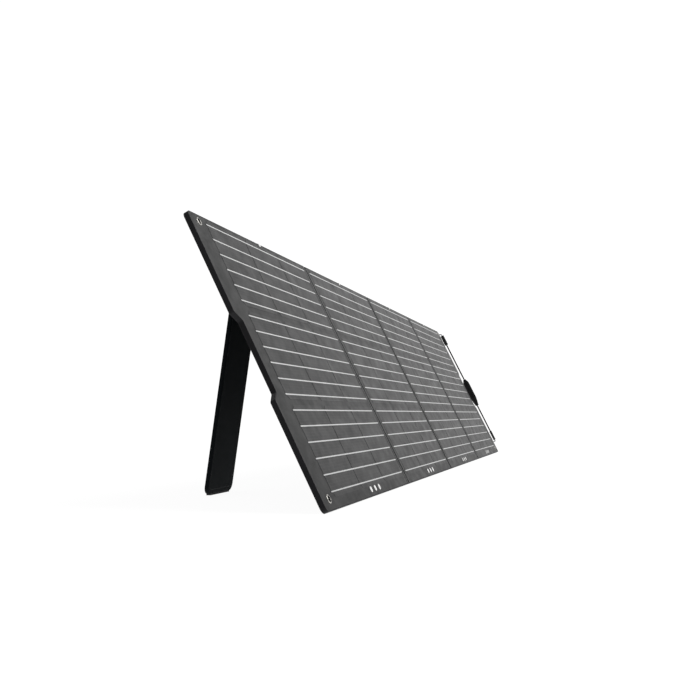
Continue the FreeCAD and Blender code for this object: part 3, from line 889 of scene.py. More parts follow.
@dataclass(frozen=True)
class Seam:
    """A row of machine stitches along an outline.

    Attributes:
        stitch: length of one stitch in millimetres.
        gap: space between two stitches.
        width: width of the thread.
        height: how thick a stitch is; half of it lies in the cloth.
        pinch: size of a stitch's ends along each axis, as a share of its middle.
        rounding: how far its edges are rounded.
    """

    stitch: float = 4.4
    gap: float = 1.8
    width: float = 0.9
    height: float = 0.7
    pinch: tuple[float, float, float] = (1.0, 0.5, 0.3)
    rounding: float = 0.16

    def sew(self, name: str, outline: Sequence[Point], level: float, corner: float) -> Object:
        """Sew along a closed outline.

        Args:
            name: name of the new object.
            outline: the outline's corners.
            level: height of the cloth's surface in the working space.
            corner: radius that the outline's corners are rounded to.

        Returns:
            The stitches, as one mesh.
        """
        path = draw_chain(name + "_path", outline, closed=True)
        with editing(path):
            bpy.ops.mesh.select_mode(type=Pick.VERTS.value)
            select_whole()
            bpy.ops.mesh.bevel(offset=corner, segments=5, affect="VERTICES")
            select_whole()
            bpy.ops.transform.translate(value=(0, 0, level))
        pick(path)
        bpy.ops.object.convert(target="CURVE")
        path = bpy.context.object
        path.data.twist_mode = "Z_UP"
        bpy.ops.mesh.primitive_cube_add(
            size=1.0, location=(self.stitch / 2, 0, 0),
            scale=(self.stitch, self.width, self.height),
        )
        row = bpy.context.object
        row.name = name
        settle(row)
        with editing(row):
            choose(row, Pick.FACES, lambda face: abs(face.normal.x) > 0.9)
            bpy.ops.transform.resize(value=self.pinch)
            select_whole()
            bpy.ops.mesh.bevel(offset=self.rounding, segments=1)
        add_and_apply(
            row, "ARRAY",
            {
                "fit_type": "FIT_CURVE", "curve": path, "use_relative_offset": False,
                "use_constant_offset": True,
                "constant_offset_displace": (self.stitch + self.gap, 0, 0),
            },
        )
        add_and_apply(row, "CURVE", {"object": path, "deform_axis": "POS_X"})
        bpy.data.objects.remove(path)
        return row


@dataclass(frozen=True)
class SocketScrew:
    """A small button screw with a hexagon socket.

    Attributes:
        head: radius of the head in millimetres.
        height: height of the head.
        socket: radius of the hexagon.
        shank: radius of the shank.
        reach: length of the shank under the head.
        crown: radius of the head's flat top, as a share of the head's radius.
        drive: depth of the hexagon, as a share of the head's height.
        rim: radius and drop of each ring from the flat top to the seat, as shares of the same.
    """

    head: float
    height: float
    socket: float
    shank: float
    reach: float
    crown: float = 0.62
    drive: float = 0.6
    rim: tuple[Point, ...] = ((0.88, 0.2), (1.0, 0.55), (1.0, 1.0))

    def model(self, name: str) -> Object:
        """Model the screw with its head up and its seat at zero.

        Args:
            name: name of the new object.

        Returns:
            The screw.
        """
        crown = self.crown * self.head
        bpy.ops.mesh.primitive_circle_add(vertices=24, radius=crown, location=(0, 0, self.height))
        screw = bpy.context.object
        screw.name = name
        settle(screw)
        with editing(screw):
            bpy.ops.mesh.primitive_circle_add(
                vertices=6, radius=self.socket, location=(0, 0, self.height)
            )
            select_whole()
            bpy.ops.mesh.bridge_edge_loops()
            choose(screw, Pick.EDGES, lambda e: e.is_boundary and self.inner(e, crown))
            bpy.ops.mesh.extrude_edges_move(
                TRANSFORM_OT_translate={"value": (0, 0, -self.drive * self.height)}
            )
            bpy.ops.mesh.edge_face_add()
            choose(screw, Pick.EDGES, lambda e: e.is_boundary)
            for radius, drop in self.rim:
                self.step(radius * self.head / crown, drop * self.height)
                crown = radius * self.head
            self.step(self.shank / crown, self.height)
            self.step(1.0, self.height + self.reach)
            bpy.ops.mesh.edge_face_add()
            select_whole()
            bpy.ops.mesh.normals_make_consistent(inside=False)
        return screw

    @staticmethod
    def inner(edge: Any, limit: float) -> bool:
        """Whether an edge lies well inside a radius."""
        return all(vertex.co.xy.length < 0.8 * limit for vertex in edge.verts)

    def step(self, grow: float, drop: float) -> None:
        """Extrude the selected rim to a new radius and a depth below the head's top.

        Args:
            grow: new radius as a share of the present one.
            drop: depth below the top of the head.
        """
        mesh = bmesh.from_edit_mesh(bpy.context.object.data)
        level = next(vertex.co.z for vertex in mesh.verts if vertex.select)
        down = self.height - drop - level
        bpy.ops.mesh.extrude_edges_move(TRANSFORM_OT_translate={"value": (0, 0, down)})
        bpy.ops.transform.resize(value=(grow, grow, 1.0), center_override=(0, 0, level + down))


# --- Sub-assemblies ---


@dataclass
class Assembly:
    """Attributes:
        space: the panels' flat space.
    """

    space: Space

    def build(self) -> None:
        """Model the new pieces."""

    def dress(self) -> None:
        """Finish the CAD nodes that stay as they are."""

    def screw_down(
        self, screw: SocketScrew, spots: list[Matrix], name: str, body: str, node: str
    ) -> None:
        """Set a row of screws.

        Args:
            screw: what one of them is like.
            spots: where they go.
            name: name of the new piece.
            body: the CAD body they ride on.
            node: the CAD node they stand for.
        """
        screws = copy_to(screw.model(name + "_model"), spots, name)
        fit(self.space, screws, body, BLACK_ZINC, [node])


@dataclass
class PanelRow(Assembly):
    """The four panels: trays, cores, films, cells, ribbons, pads, bound backs and corner eyelets.

    Attributes:
        seam: how the tape is sewn to the tray's back.
        tape_width: width of the binding tape round a panel's back.
        tape_thick: thickness of the tape.
        tape_inset: tape's distance from the panel's edges.
        tape_round: how far the tape's own edges are rounded.
        seam_margin: seam's distance from the tape's inner edge, and radius of its corners.
        corner: radius of a free corner.
        recess_rise: middle of the hand recess above the bottom edge.
        recess_depth: depth of the recess.
        recess_outer: length of the recess at the free edge.
        recess_inner: length of the recess at its bottom.
        bore: radius of an eyelet's hole.
        lip: how far an eyelet stands proud of the panel.
        shade_liner: radius of the black tube inside an eyelet's bright ring, a dark piece that
            paints the shade inside the eyelet's barrel.
    """

    seam: Seam = field(default_factory=Seam)
    tape_width: float = 13.0
    tape_thick: float = 0.35
    tape_inset: float = 1.3
    tape_round: float = 0.12
    seam_margin: float = 2.5
    corner: float = 10.0
    recess_rise: float = 257.5
    recess_depth: float = 22.0
    recess_outer: float = 150.0
    recess_inner: float = 122.0
    bore: float = 4.0
    lip: float = 0.8
    shade_liner: float = 5.5

    def dress(self) -> None:
        """Finish the CAD nodes of every panel."""
        finishes = {
            "shell": TRAY_CLOTH, "core": CORE_BOARD, "sheet": FRONT_FILM, "cells": CELL_SILICON,
            "ribbons": TINNED_RIBBON, "pads": WHITE_PAD,
        }
        for layer, finish in finishes.items():
            dress_nodes(finish, *(f"{layer}_{number}" for number in (1, 2, 3, 4)))

    def build(self) -> None:
        """Bind and sew the four backs, and set the four eyelets."""
        for number in (1, 2, 3, 4):
            self.bind_back(number)
            self.sew_back(number)
        self.set_eyelets(1)
        self.set_eyelets(4)

    def outline(self, number: int, inset: float) -> list[Point]:
        """Outline of a panel, moved in from its edges, round the hand recess.

        Args:
            number: which panel, from 1 on the left.
            inset: how far in.

        Returns:
            The outline's corners, counterclockwise.
        """
        low, high = self.space.box(f"shell_{number}")
        left, right = low.x + inset, high.x - inset
        bottom, top = low.y + inset, high.y - inset
        slant = (self.recess_outer - self.recess_inner) / 2
        angle = math.pi / 2 - math.atan2(slant, self.recess_depth)
        spread = inset * math.tan(angle / 2)
        outer, inner = self.recess_outer / 2 + spread, self.recess_inner / 2 + spread
        middle = low.y + self.recess_rise
        left_recess = [
            (left, middle + outer), (left + self.recess_depth, middle + inner),
            (left + self.recess_depth, middle - inner), (left, middle - outer),
        ]
        right_recess = [
            (right, middle - outer), (right - self.recess_depth, middle - inner),
            (right - self.recess_depth, middle + inner), (right, middle + outer),
        ]
        line = [(left, bottom), (right, bottom)]
        line += right_recess if number == 4 else []
        line += [(right, top), (left, top)]
        line += left_recess if number == 1 else []
        return line

    def bind_back(self, number: int) -> None:
        """Lay the binding tape round one panel's back.

        Args:
            number: which panel, from 1 on the left.
        """
        low, high = self.space.box(f"shell_{number}")
        level = low.z - self.tape_thick / 2
        tape = draw_chain(f"back_tape_{number}", self.outline(number, self.tape_inset), True)
        free = {1: low.x, 4: high.x}.get(number)
        with editing(tape):
            if free is not None:
                choose(tape, Pick.VERTS, lambda v: abs(v.co.x - free) < self.recess_depth / 2
                       and abs(v.co.y - low.y - self.recess_rise) > self.recess_outer)
                bpy.ops.mesh.bevel(
                    offset=self.corner - self.tape_inset, segments=6, affect="VERTICES"
                )
            select_whole()
            bpy.ops.mesh.edge_face_add()
            bpy.ops.mesh.inset(thickness=self.tape_width)
            bpy.ops.mesh.delete(type="FACE")
            select_whole()
            bpy.ops.transform.translate(value=(0, 0, level))
        thicken(tape, self.tape_thick)
        soften(tape, self.tape_round, 2)
        fit(self.space, tape, f"panel_{number}", BINDING)

    def sew_back(self, number: int) -> None:
        """Sew the tape down along its inner edge.

        Args:
            number: which panel, from 1 on the left.
        """
        level = self.space.box(f"shell_{number}")[0].z - self.tape_thick
        line = self.outline(number, self.tape_inset + self.tape_width - self.seam_margin)
        stitches = self.seam.sew(f"panel_seam_{number}", line, level, self.seam_margin)
        fit(self.space, stitches, f"panel_{number}", THREAD)

    def set_eyelets(self, number: int) -> None:
        """Set the two eyelets of an outer panel: bright rings, each lined with a black tube that
        stands in the barrel as painted shade.

        Args:
            number: 1 or 4.
        """
        low, high = self.space.box(f"eyelets_{number}")
        flange, thick = (high.x - low.x) / 2, high.z - low.z
        x = (low.x + high.x) / 2
        spots = [place(x, y, low.z) for y in (low.y + flange, high.y - flange)]
        front = [
            (self.shade_liner, thick - self.lip), (self.shade_liner, thick - 0.2), (self.shade_liner + 0.45, thick),
            (flange - 0.6, thick - 0.04), (flange - 0.15, thick - 0.3), (flange, thick - 0.6),
            (flange, thick - self.lip),
        ]
        back = [(radius, thick - height) for radius, height in front]
        rings = [turn_piece("eyelet_ring", side + side[:1], steps=48) for side in (front, back)]
        eyelets = copy_to(join(rings, "eyelet_rings"), spots, f"corner_eyelets_{number}")
        fit(self.space, eyelets, f"panel_{number}", NICKEL, [f"eyelets_{number}"])
        # A black tube inside each ring: a dark piece put where the barrel is only in shade, as
        # painted shade.
        lower = [
            (self.bore, 0.4), (self.bore + 0.25, 0.15), (self.bore + 0.7, 0.05), (self.shade_liner, 0.15),
            (self.shade_liner, self.lip), (self.bore + 1.0, self.lip),
        ]
        upper = [(radius, thick - height) for radius, height in reversed(lower)]
        shade_liner = turn_piece("eyelet_liner", lower + upper + lower[:1], steps=48)
        shade_liners = copy_to(shade_liner, spots, f"eyelet_liners_{number}")
        fit(self.space, shade_liners, f"panel_{number}", BLACK_NYLON)


@dataclass
class FoldStrips(Assembly):
    """The soft strips that hinge the panels, and the wraps round the edges beside them.

    Attributes:
        wrap_reach: how far a wrap laps over the front and the back.
        wrap_thick: thickness of a wrap.
        wrap_round: how far a wrap's edges are rounded.
        wrap_short: how far a wrap stops short of the panel's lower and upper edge.
        dip: how far the strip hangs into the gap between two panels.
        thick: thickness of the woven strip.
        threads: how many facets the strip has across the gap.
        rows: how many it has along the fold.
        rib: how far each facet's edge stands up or down, as in a ribbed cloth.
        smooth: angle in degrees up to which its facets are shaded as one surface.
    """

    wrap_reach: float = 9.0
    wrap_thick: float = 0.4
    wrap_round: float = 0.19
    wrap_short: float = 0.6
    dip: float = 1.1
    thick: float = 0.6
    threads: int = 18
    rows: int = 60
    rib: float = 0.12
    smooth: float = 60.0

    def build(self) -> None:
        """Lay the three strips, each bending between the two panels it joins."""
        for fixed, moving in ((2, 1), (2, 3), (3, 4)):
            self.lay(fixed, moving)
        for number, sides in ((1, (1,)), (2, (-1, 1)), (3, (-1, 1)), (4, (-1,))):
            self.wrap_edges(number, sides)

    def wrap_edges(self, number: int, sides: Sequence[int]) -> None:
        """Wrap a panel's fold edges in a folded strip.

        Args:
            number: which panel, from 1 on the left.
            sides: which of its edges, -1 for the left one and 1 for the right one.
        """
        low, high = self.space.box(f"shell_{number}")
        wraps = []
        for side in sides:
            edge = high.x if side > 0 else low.x
            inner = edge - side * self.wrap_reach
            line = [(inner, high.z), (edge, high.z), (edge, low.z), (inner, low.z)]
            wrap = draw_chain(f"fold_wrap_{number}", line, False)
            with editing(wrap):
                select_whole()
                bpy.ops.transform.rotate(
                    value=-math.pi / 2, orient_axis="X", center_override=(0, 0, 0)
                )
                bpy.ops.transform.translate(value=(0, low.y + self.wrap_short, 0))
                bpy.ops.mesh.extrude_edges_move(
                    TRANSFORM_OT_translate={"value": (0, high.y - low.y - 2 * self.wrap_short, 0)}
                )
                select_whole()
                bpy.ops.mesh.normals_make_consistent(inside=False)
            thicken(wrap, self.wrap_thick)
            soften(wrap, self.wrap_round, 3)
            wraps.append(wrap)
        wrap = join(wraps, f"fold_wraps_{number}")
        fit(self.space, wrap, f"panel_{number}", FOLD_WEB)

    def lay(self, fixed: int, moving: int) -> None:
        """Lay one strip.

        Args:
            fixed: number of the panel on the joint's parent side.
            moving: number of the panel that swings.
        """
        tag = f"{min(fixed, moving)}{max(fixed, moving)}"
        low, high = self.space.box(f"fold_band_{tag}")
        left = self.space.box(f"shell_{tag[0]}")[1].x
        right = self.space.box(f"shell_{tag[1]}")[0].x
        width, length = right - left, high.y - low.y
        inward = 1.0 if low.z < self.space.box("shell_2")[0].z / 2 else -1.0
        bpy.ops.mesh.primitive_grid_add(
            x_subdivisions=self.threads, y_subdivisions=self.rows, size=1.0
        )
        strip = bpy.context.object
        strip.name = f"fold_strip_{tag}"
        with editing(strip):
            select_whole()
            bpy.ops.transform.resize(value=(width, length, 1.0), center_override=(0, 0, 0))
            step = width / self.threads
            for rank in range(1, self.threads):
                at = -width / 2 + rank * step
                sag = inward * self.dip * math.sin(math.pi * rank / self.threads) ** 1.5
                rib = self.rib * (-1) ** rank
                choose(strip, Pick.VERTS, lambda v, at=at: abs(v.co.x - at) < step / 4)
                bpy.ops.transform.translate(value=(0, 0, sag + rib))
            select_whole()
            middle = ((left + right) / 2, (low.y + high.y) / 2, (low.z + high.z) / 2)
            bpy.ops.transform.translate(value=middle)
        thicken(strip, self.thick)
        self.space.stand(strip)
        pick(strip)
        bpy.ops.object.shade_smooth_by_angle(angle=math.radians(self.smooth))
        dress(strip, FOLD_WEB)
        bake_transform(strip)
        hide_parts(f"fold_band_{tag}")
        log.info("piece %s: %d faces", strip.name, len(strip.data.polygons))


@dataclass
class KickLeg(Assembly):
    """One kick-stand leg with its hinge bracket.

    Attributes:
        side: which end of the row it stands at.
        spread: angle between the standing leg and the panel's back, in degrees.
        seam: how the leg's cloth is sewn.
        seam_inset: seam's distance from the board's edges.
        seam_rise: seam's distance from the board's foot.
        seam_corner: radius of the seam's corners.
        screw: one bracket screw.
        screw_steps: where the bracket screws sit along X, from the leg's middle.
        rivet_head: height of a rivet's head.
    """

    side: Side
    spread: float = 34.4
    seam: Seam = field(default_factory=Seam)
    seam_inset: float = 5.0
    seam_rise: float = 9.0
    seam_corner: float = 7.0
    screw: SocketScrew = SocketScrew(3.15, 1.2, 1.2, 1.55, 2.8)
    screw_steps: tuple[float, ...] = (-38.0, -13.0, 13.0, 38.0)
    rivet_head: float = 0.7

    def __post_init__(self) -> None:
        """Work out the names and the leg's own flat space."""
        self.tag = self.side.name.lower()
        self.panel = "panel_1" if self.side is Side.LEFT else "panel_4"
        self.body = "leg_" + self.tag
        self.leg_space = self.space.turned_at(f"leg_{self.tag}_swing", "X", self.spread)

    def dress(self) -> None:
        """Finish the leg's CAD nodes."""
        dress_nodes(SHADED_LEG_CLOTH, f"leg_board_{self.tag}")
        dress_nodes(RUBBER, f"leg_sole_{self.tag}")
        dress_nodes(POWDER_COAT, f"leg_bracket_{self.tag}")
        dress_nodes(POWDER_COAT_LEAF, f"leg_leaf_{self.tag}")
        dress_nodes(DRAWN_STEEL, f"leg_pin_{self.tag}")

    def build(self) -> None:
        """Sew both faces, and set the screws and rivets."""
        self.sew_board()
        self.set_screws()
        self.set_rivets()

    def sew_board(self) -> None:
        """Sew the cloth round both faces of the leg's board."""
        low, high = self.leg_space.box(f"leg_board_{self.tag}")
        left, right = low.x + self.seam_inset, high.x - self.seam_inset
        bottom, top = low.y + self.seam_rise, high.y - self.seam_inset
        outline = [(left, bottom), (right, bottom), (right, top), (left, top)]
        rows = [
            self.seam.sew(f"leg_row_{index}", outline, level, self.seam_corner)
            for index, level in enumerate((low.z, high.z))
        ]
        stitches = join(rows, f"leg_seam_{self.tag}")
        fit(self.leg_space, stitches, self.body, THREAD)

    def set_screws(self) -> None:
        """Set the four socket screws flush in the bracket."""
        low, high = self.space.box(f"leg_bracket_screws_{self.tag}")
        middle = (low.x + high.x) / 2
        y = (low.y + high.y) / 2
        spots = [
            place(middle + step, y, low.z + self.screw.height, Facing.BACK)
            for step in self.screw_steps
        ]
        node = f"leg_bracket_screws_{self.tag}"
        self.screw_down(self.screw, spots, f"bracket_screws_{self.tag}", self.panel, node)

    def set_rivets(self) -> None:
        """Set the two domed rivets through the board and the hinge leaf."""
        low, high = self.leg_space.box(f"leg_rivets_{self.tag}")
        radius = (high.y - low.y) / 2
        half = (high.z - low.z) / 2
        seat = half - self.rivet_head
        crown = [
            (0.0, half + 0.25), (0.35 * radius, half + 0.2), (0.7 * radius, half - 0.05),
            (0.93 * radius, half - 0.4), (radius, seat), (0.6 * radius, seat),
        ]
        foot = [(radius_at, -height) for radius_at, height in reversed(crown)]
        rivet = turn_piece("rivet", crown + foot, steps=24)
        y, z = (low.y + high.y) / 2, (low.z + high.z) / 2
        spots = [place(x, y, z) for x in (low.x + radius, high.x - radius)]
        rivets = copy_to(rivet, spots, f"leg_rivets_domed_{self.tag}")
        fit(self.leg_space, rivets, self.body, BLACK_ZINC, [f"leg_rivets_{self.tag}"])


@dataclass
class CarryHandle(Assembly):
    """The carry handle on the right-hand edge: a steel bail, a braided bar and a moulded grip.

    Attributes:
        grip_end: radius of the grip at its two ends.
        tapers: length of the grip's lower and upper tapered end.
        pad_rows: rows of moulded pads along the grip.
        pad_depth: depth of the channels between the pads.
        pad_gap: how far a sunk pad's wall leans in.
        pad_margin: distance of the first and last pad from the tapered ends.
        flats: how many flats the grip has round its axis.
        crimps: how many rings are pressed into a sleeve.
        crimp_margin: distance of the first and last ring from a sleeve's ends.
        sleeve_bore: radius of a sleeve's bore.
        lug_screw: one screw of the bearing blocks.
        lug_screw_rises: where those screws sit up the slope.
        lug_screw_head: height of their heads.
    """

    grip_end: float = 6.5
    tapers: tuple[float, float] = (28.0, 14.0)
    pad_rows: int = 7
    pad_depth: float = 0.7
    pad_gap: float = 0.35
    pad_margin: float = 4.0
    flats: int = 32
    crimps: int = 4
    crimp_margin: float = 7.0
    sleeve_bore: float = 2.05
    lug_screw: SocketScrew = SocketScrew(2.4, 1.3, 0.95, 1.15, 4.0)
    lug_screw_rises: tuple[float, ...] = (44.0, 66.0, 476.0, 498.0)
    lug_screw_head: float = 1.2

    def __post_init__(self) -> None:
        """Work out the bail's own flat space; it swings as far each way from lying flat."""
        swing = next(joint for joint in frame["joints"] if joint["name"] == "handle_swing")
        lift = sum(swing["range_deg"]) / 2
        self.bail_space = self.space.turned_at("handle_swing", "Y", -lift)

    def dress(self) -> None:
        """Finish the handle's CAD nodes."""
        dress_nodes(DRAWN_STEEL, "handle_arm_top", "handle_arm_bottom")
        dress_nodes(BRAID, "handle_bar")
        dress_nodes(BLACK_NYLON, "handle_lugs")

    def build(self) -> None:
        """Mould the grip, crimp the sleeves and set the screws."""
        self.mould_grip()
        self.crimp_sleeve("top")
        self.crimp_sleeve("bottom")
        self.set_screws()

    def axis_place(self, low: Vector, high: Vector) -> Matrix:
        """Place on the bar's axis, facing up the slope, for a piece that fills a measured box.

        Args:
            low: lowest corner of the box.
            high: highest corner of the box.

        Returns:
            The place of the piece's lower end.
        """
        return place((low.x + high.x) / 2, low.y, (low.z + high.z) / 2, Facing.UP_SLOPE)

    def mould_grip(self) -> None:
        """Mould the grip: tapered ends with a bead, and staggered pads round its body."""
        low, high = self.bail_space.box("handle_grip")
        radius, length = (high.x - low.x) / 2, high.y - low.y
        bore = self.bail_space.box("handle_bar")
        inside = (bore[1].x - bore[0].x) / 2
        lower, upper = (self.grip_profile(inside, radius, taper) for taper in self.tapers)
        first = self.tapers[0] + self.pad_margin
        last = length - self.tapers[1] - self.pad_margin
        step = (last - first) / self.pad_rows
        body = [(radius, first + row * step) for row in range(self.pad_rows + 1)]
        mirrored = [(r, length - height) for r, height in reversed(upper)]
        grip = turn_piece("handle_grip_moulded", lower + body + mirrored, steps=self.flats)
        with editing(grip):
            choose(
                grip, Pick.FACES,
                lambda face: first < face.calc_center_median().z < last
                and face.calc_center_median().xy.length > radius - 1.0
                and self.staggered(face, first, step),
            )
            bpy.ops.mesh.inset(thickness=self.pad_gap, depth=-self.pad_depth, use_individual=True)
        soften(grip, 0.18, 2)
        spot = [self.axis_place(low, high)]
        grip = copy_to(grip, spot, "handle_grip_moulded")
        fit(self.bail_space, grip, "handle", RUBBER, ["handle_grip"])

    def grip_profile(self, inside: float, radius: float, taper: float) -> list[Point]:
        """Profile of one end of the grip, from its bore to its full radius.

        Args:
            inside: radius of the bore.
            radius: full radius of the grip.
            taper: length of the tapered end.

        Returns:
            Radius and height of each corner, counted from the end.
        """
        return [
            (inside, 0.0), (self.grip_end - 0.6, 0.0), (self.grip_end, 0.6), (self.grip_end, 2.0),
            (self.grip_end - 0.6, 2.5), (self.grip_end - 0.4, 3.2),
            (0.5 * (radius + self.grip_end), 0.56 * taper), (radius - 0.9, 0.94 * taper),
            (radius - 0.15, taper + 2.0),
        ]

    def staggered(self, face: Any, first: float, step: float) -> bool:
        """Whether a face of the grip's body is one of the sunk ones.

        Args:
            face: the bmesh face.
            first: height of the body's first row.
            step: height of one row.

        Returns:
            True for every other face, staggered from row to row.
        """
        middle = face.calc_center_median()
        column = int((math.atan2(middle.y, middle.x) + math.tau) / (math.tau / self.flats))
        row = int((middle.z - first) / step)
        return (column // 2 + row) % 2 == 0

    def crimp_sleeve(self, end: str) -> None:
        """Make one sleeve with pressed rings.

        Args:
            end: "top" or "bottom".
        """
        node = "handle_sleeve_" + end
        low, high = self.bail_space.box(node)
        radius, length = (high.x - low.x) / 2, high.y - low.y
        inside = self.sleeve_bore
        profile = [(inside, 0.0), (radius - 1.0, 0.0), (radius - 0.3, 0.35), (radius, 1.1)]
        spacing = (length - 2 * self.crimp_margin) / (self.crimps - 1)
        for ring in range(self.crimps):
            middle = self.crimp_margin + ring * spacing
            profile += [
                (radius, middle - 1.3), (radius - 0.45, middle - 0.9), (radius - 0.55, middle),
                (radius - 0.45, middle + 0.9), (radius, middle + 1.3),
            ]
        profile += [
            (radius, length - 1.1), (radius - 0.3, length - 0.35), (radius - 1.0, length),
            (inside, length), (inside, 0.0),
        ]
        name = f"handle_sleeve_crimped_{end}"
        sleeve = turn_piece(name, profile, steps=36)
        sleeve = copy_to(sleeve, [self.axis_place(low, high)], name)
        fit(self.bail_space, sleeve, "handle", BLACK_NYLON, [node])

    def set_screws(self) -> None:
        """Set the four screws of the two bearing blocks."""
        low, high = self.space.box("handle_lug_screws")
        z = (low.z + high.z) / 2
        spots = [
            place(high.x - self.lug_screw_head, y, z, Facing.OUTWARD) for y in self.lug_screw_rises
        ]
        self.screw_down(self.lug_screw, spots, "lug_screws_socket", "panel_4", "handle_lug_screws")


@dataclass
class OutputBox(Assembly):
    """The output box on the right-hand panel's back.

    Attributes:
        rib_count: raised ribs on the lid.
        rib_pitch: distance from one rib to the next.
        rib_length: length of a rib.
        rib_width: width of a rib.
        rib_height: how far a rib stands proud.
        rib_round: how far its top edge is rounded; its ends are half circles.
        flutes: finger flutes round a socket cap.
        flute_depth: depth of a flute.
        collar: height at which a cap's fluted side starts.
        shoulder: distance of its end from the cap's top.
        lid_screw: one lid screw.
        lid_screw_inset: a lid screw's centre from the edge of the screws' own box.
        lid_screw_seat: its seat above the lowest point of that box.
    """

    rib_count: int = 5
    rib_pitch: float = 7.0
    rib_length: float = 44.0
    rib_width: float = 2.4
    rib_height: float = 0.8
    rib_round: float = 0.35
    flutes: int = 16
    flute_depth: float = 0.35
    collar: float = 3.2
    shoulder: float = 1.0
    lid_screw: SocketScrew = SocketScrew(2.35, 1.3, 0.95, 1.15, 9.0)
    lid_screw_inset: float = 2.4
    lid_screw_seat: float = 0.9

    def dress(self) -> None:
        """Finish the box's CAD nodes."""
        dress_nodes(BLACK_ABS, "output_tray", "output_lid")
        dress_nodes(SEAL_FOAM, "output_seal")
        dress_nodes(BOARD, "output_board")

    def build(self) -> None:
        """Raise the lid's ribs, cap the sockets and set the screws."""
        self.raise_ribs()
        self.cap_sockets()
        self.set_screws()

    def raise_ribs(self) -> None:
        """Raise rounded ribs across the lid."""
        low, high = self.space.box("output_lid")
        bpy.ops.mesh.primitive_cube_add(
            size=1.0, scale=(self.rib_length, self.rib_width, 2 * self.rib_height)
        )
        rib = bpy.context.object
        settle(rib)
        with editing(rib):
            choose(rib, Pick.EDGES, lambda e: abs((e.verts[0].co - e.verts[1].co).z) > 0.1)
            bpy.ops.mesh.bevel(offset=0.49 * self.rib_width, segments=5)
            choose(rib, Pick.FACES, lambda face: face.normal.z < -0.9)
            bpy.ops.mesh.bevel(offset=self.rib_round, segments=2)
        x, y = (low.x + high.x) / 2, (low.y + high.y) / 2
        first = y - (self.rib_count - 1) / 2 * self.rib_pitch
        spots = [place(x, first + rank * self.rib_pitch, low.z) for rank in range(self.rib_count)]
        ribs = copy_to(rib, spots, "lid_ribs")
        fit(self.space, ribs, "panel_4", BLACK_ABS)

    def cap_sockets(self) -> None:
        """Make the two output sockets with their fluted caps."""
        low, high = self.space.box("output_sockets")
        radius, reach = (high.z - low.z) / 2, high.y - low.y
        profile = [
            (radius - 1.0, 0.0), (radius - 1.0, 2.2), (radius - 0.3, 2.2), (radius, 2.6),
            (radius, self.collar), (radius, reach - self.shoulder), (radius - 0.3, reach - 0.3),
            (radius - 1.2, reach), (radius - 1.8, reach - 0.4), (0.0, reach - 0.4),
        ]
        cap = turn_piece("socket_cap", [(0.0, 0.0)] + profile, steps=2 * self.flutes)
        with editing(cap):
            choose(
                cap, Pick.FACES,
                lambda face: self.collar < face.calc_center_median().z < reach - self.shoulder
                and self.fluted(face),
            )
            bpy.ops.mesh.inset(thickness=0.12, depth=-self.flute_depth, use_individual=True)
        z = (low.z + high.z) / 2
        spots = [
            place(x, high.y, z, Facing.DOWN_SLOPE) for x in (low.x + radius, high.x - radius)
        ]
        caps = copy_to(cap, spots, "socket_caps_fluted")
        fit(self.space, caps, "panel_4", RUBBER, ["output_sockets"])

    def fluted(self, face: Any) -> bool:
        """Whether a face of the cap's side is the bottom of a flute.

        Args:
            face: the bmesh face.

        Returns:
            True for every other face round the side, and False for the ones near the axis.
        """
        middle = face.calc_center_median()
        turn = (math.atan2(middle.y, middle.x) + math.tau) / math.tau
        return int(turn * 2 * self.flutes) % 2 == 0 and middle.xy.length > 3.0

    def set_screws(self) -> None:
        """Set the four lid screws."""
        low, high = self.space.box("output_lid_screws")
        inset = self.lid_screw_inset
        spots = [
            place(x, y, low.z + self.lid_screw_seat, Facing.BACK)
            for x in (low.x + inset, high.x - inset)
            for y in (low.y + inset, high.y - inset)
        ]
        self.screw_down(self.lid_screw, spots, "lid_screws_socket", "panel_4", "output_lid_screws")


@dataclass(frozen=True)
class Lamp:
    """A large soft lamp, far enough away to light the whole room evenly.

    Attributes:
        name: the lamp's name.
        toward: direction from the object to the lamp.
        strength: light that reaches a surface facing it.
        width: how wide it looks from the object, in degrees.
    """

    name: str
    toward: tuple[float, float, float]
    strength: float
    width: float

    def hang(self) -> None:
        """Hang the lamp and aim it at the object."""
        aim = Vector(self.toward).to_track_quat("Z", "Y").to_euler()
        bpy.ops.object.light_add(type="SUN", location=Vector(self.toward) * 5, rotation=aim)
        lamp = bpy.context.object
        lamp.name = self.name
        lamp.data.energy = self.strength
        lamp.data.angle = math.radians(self.width)


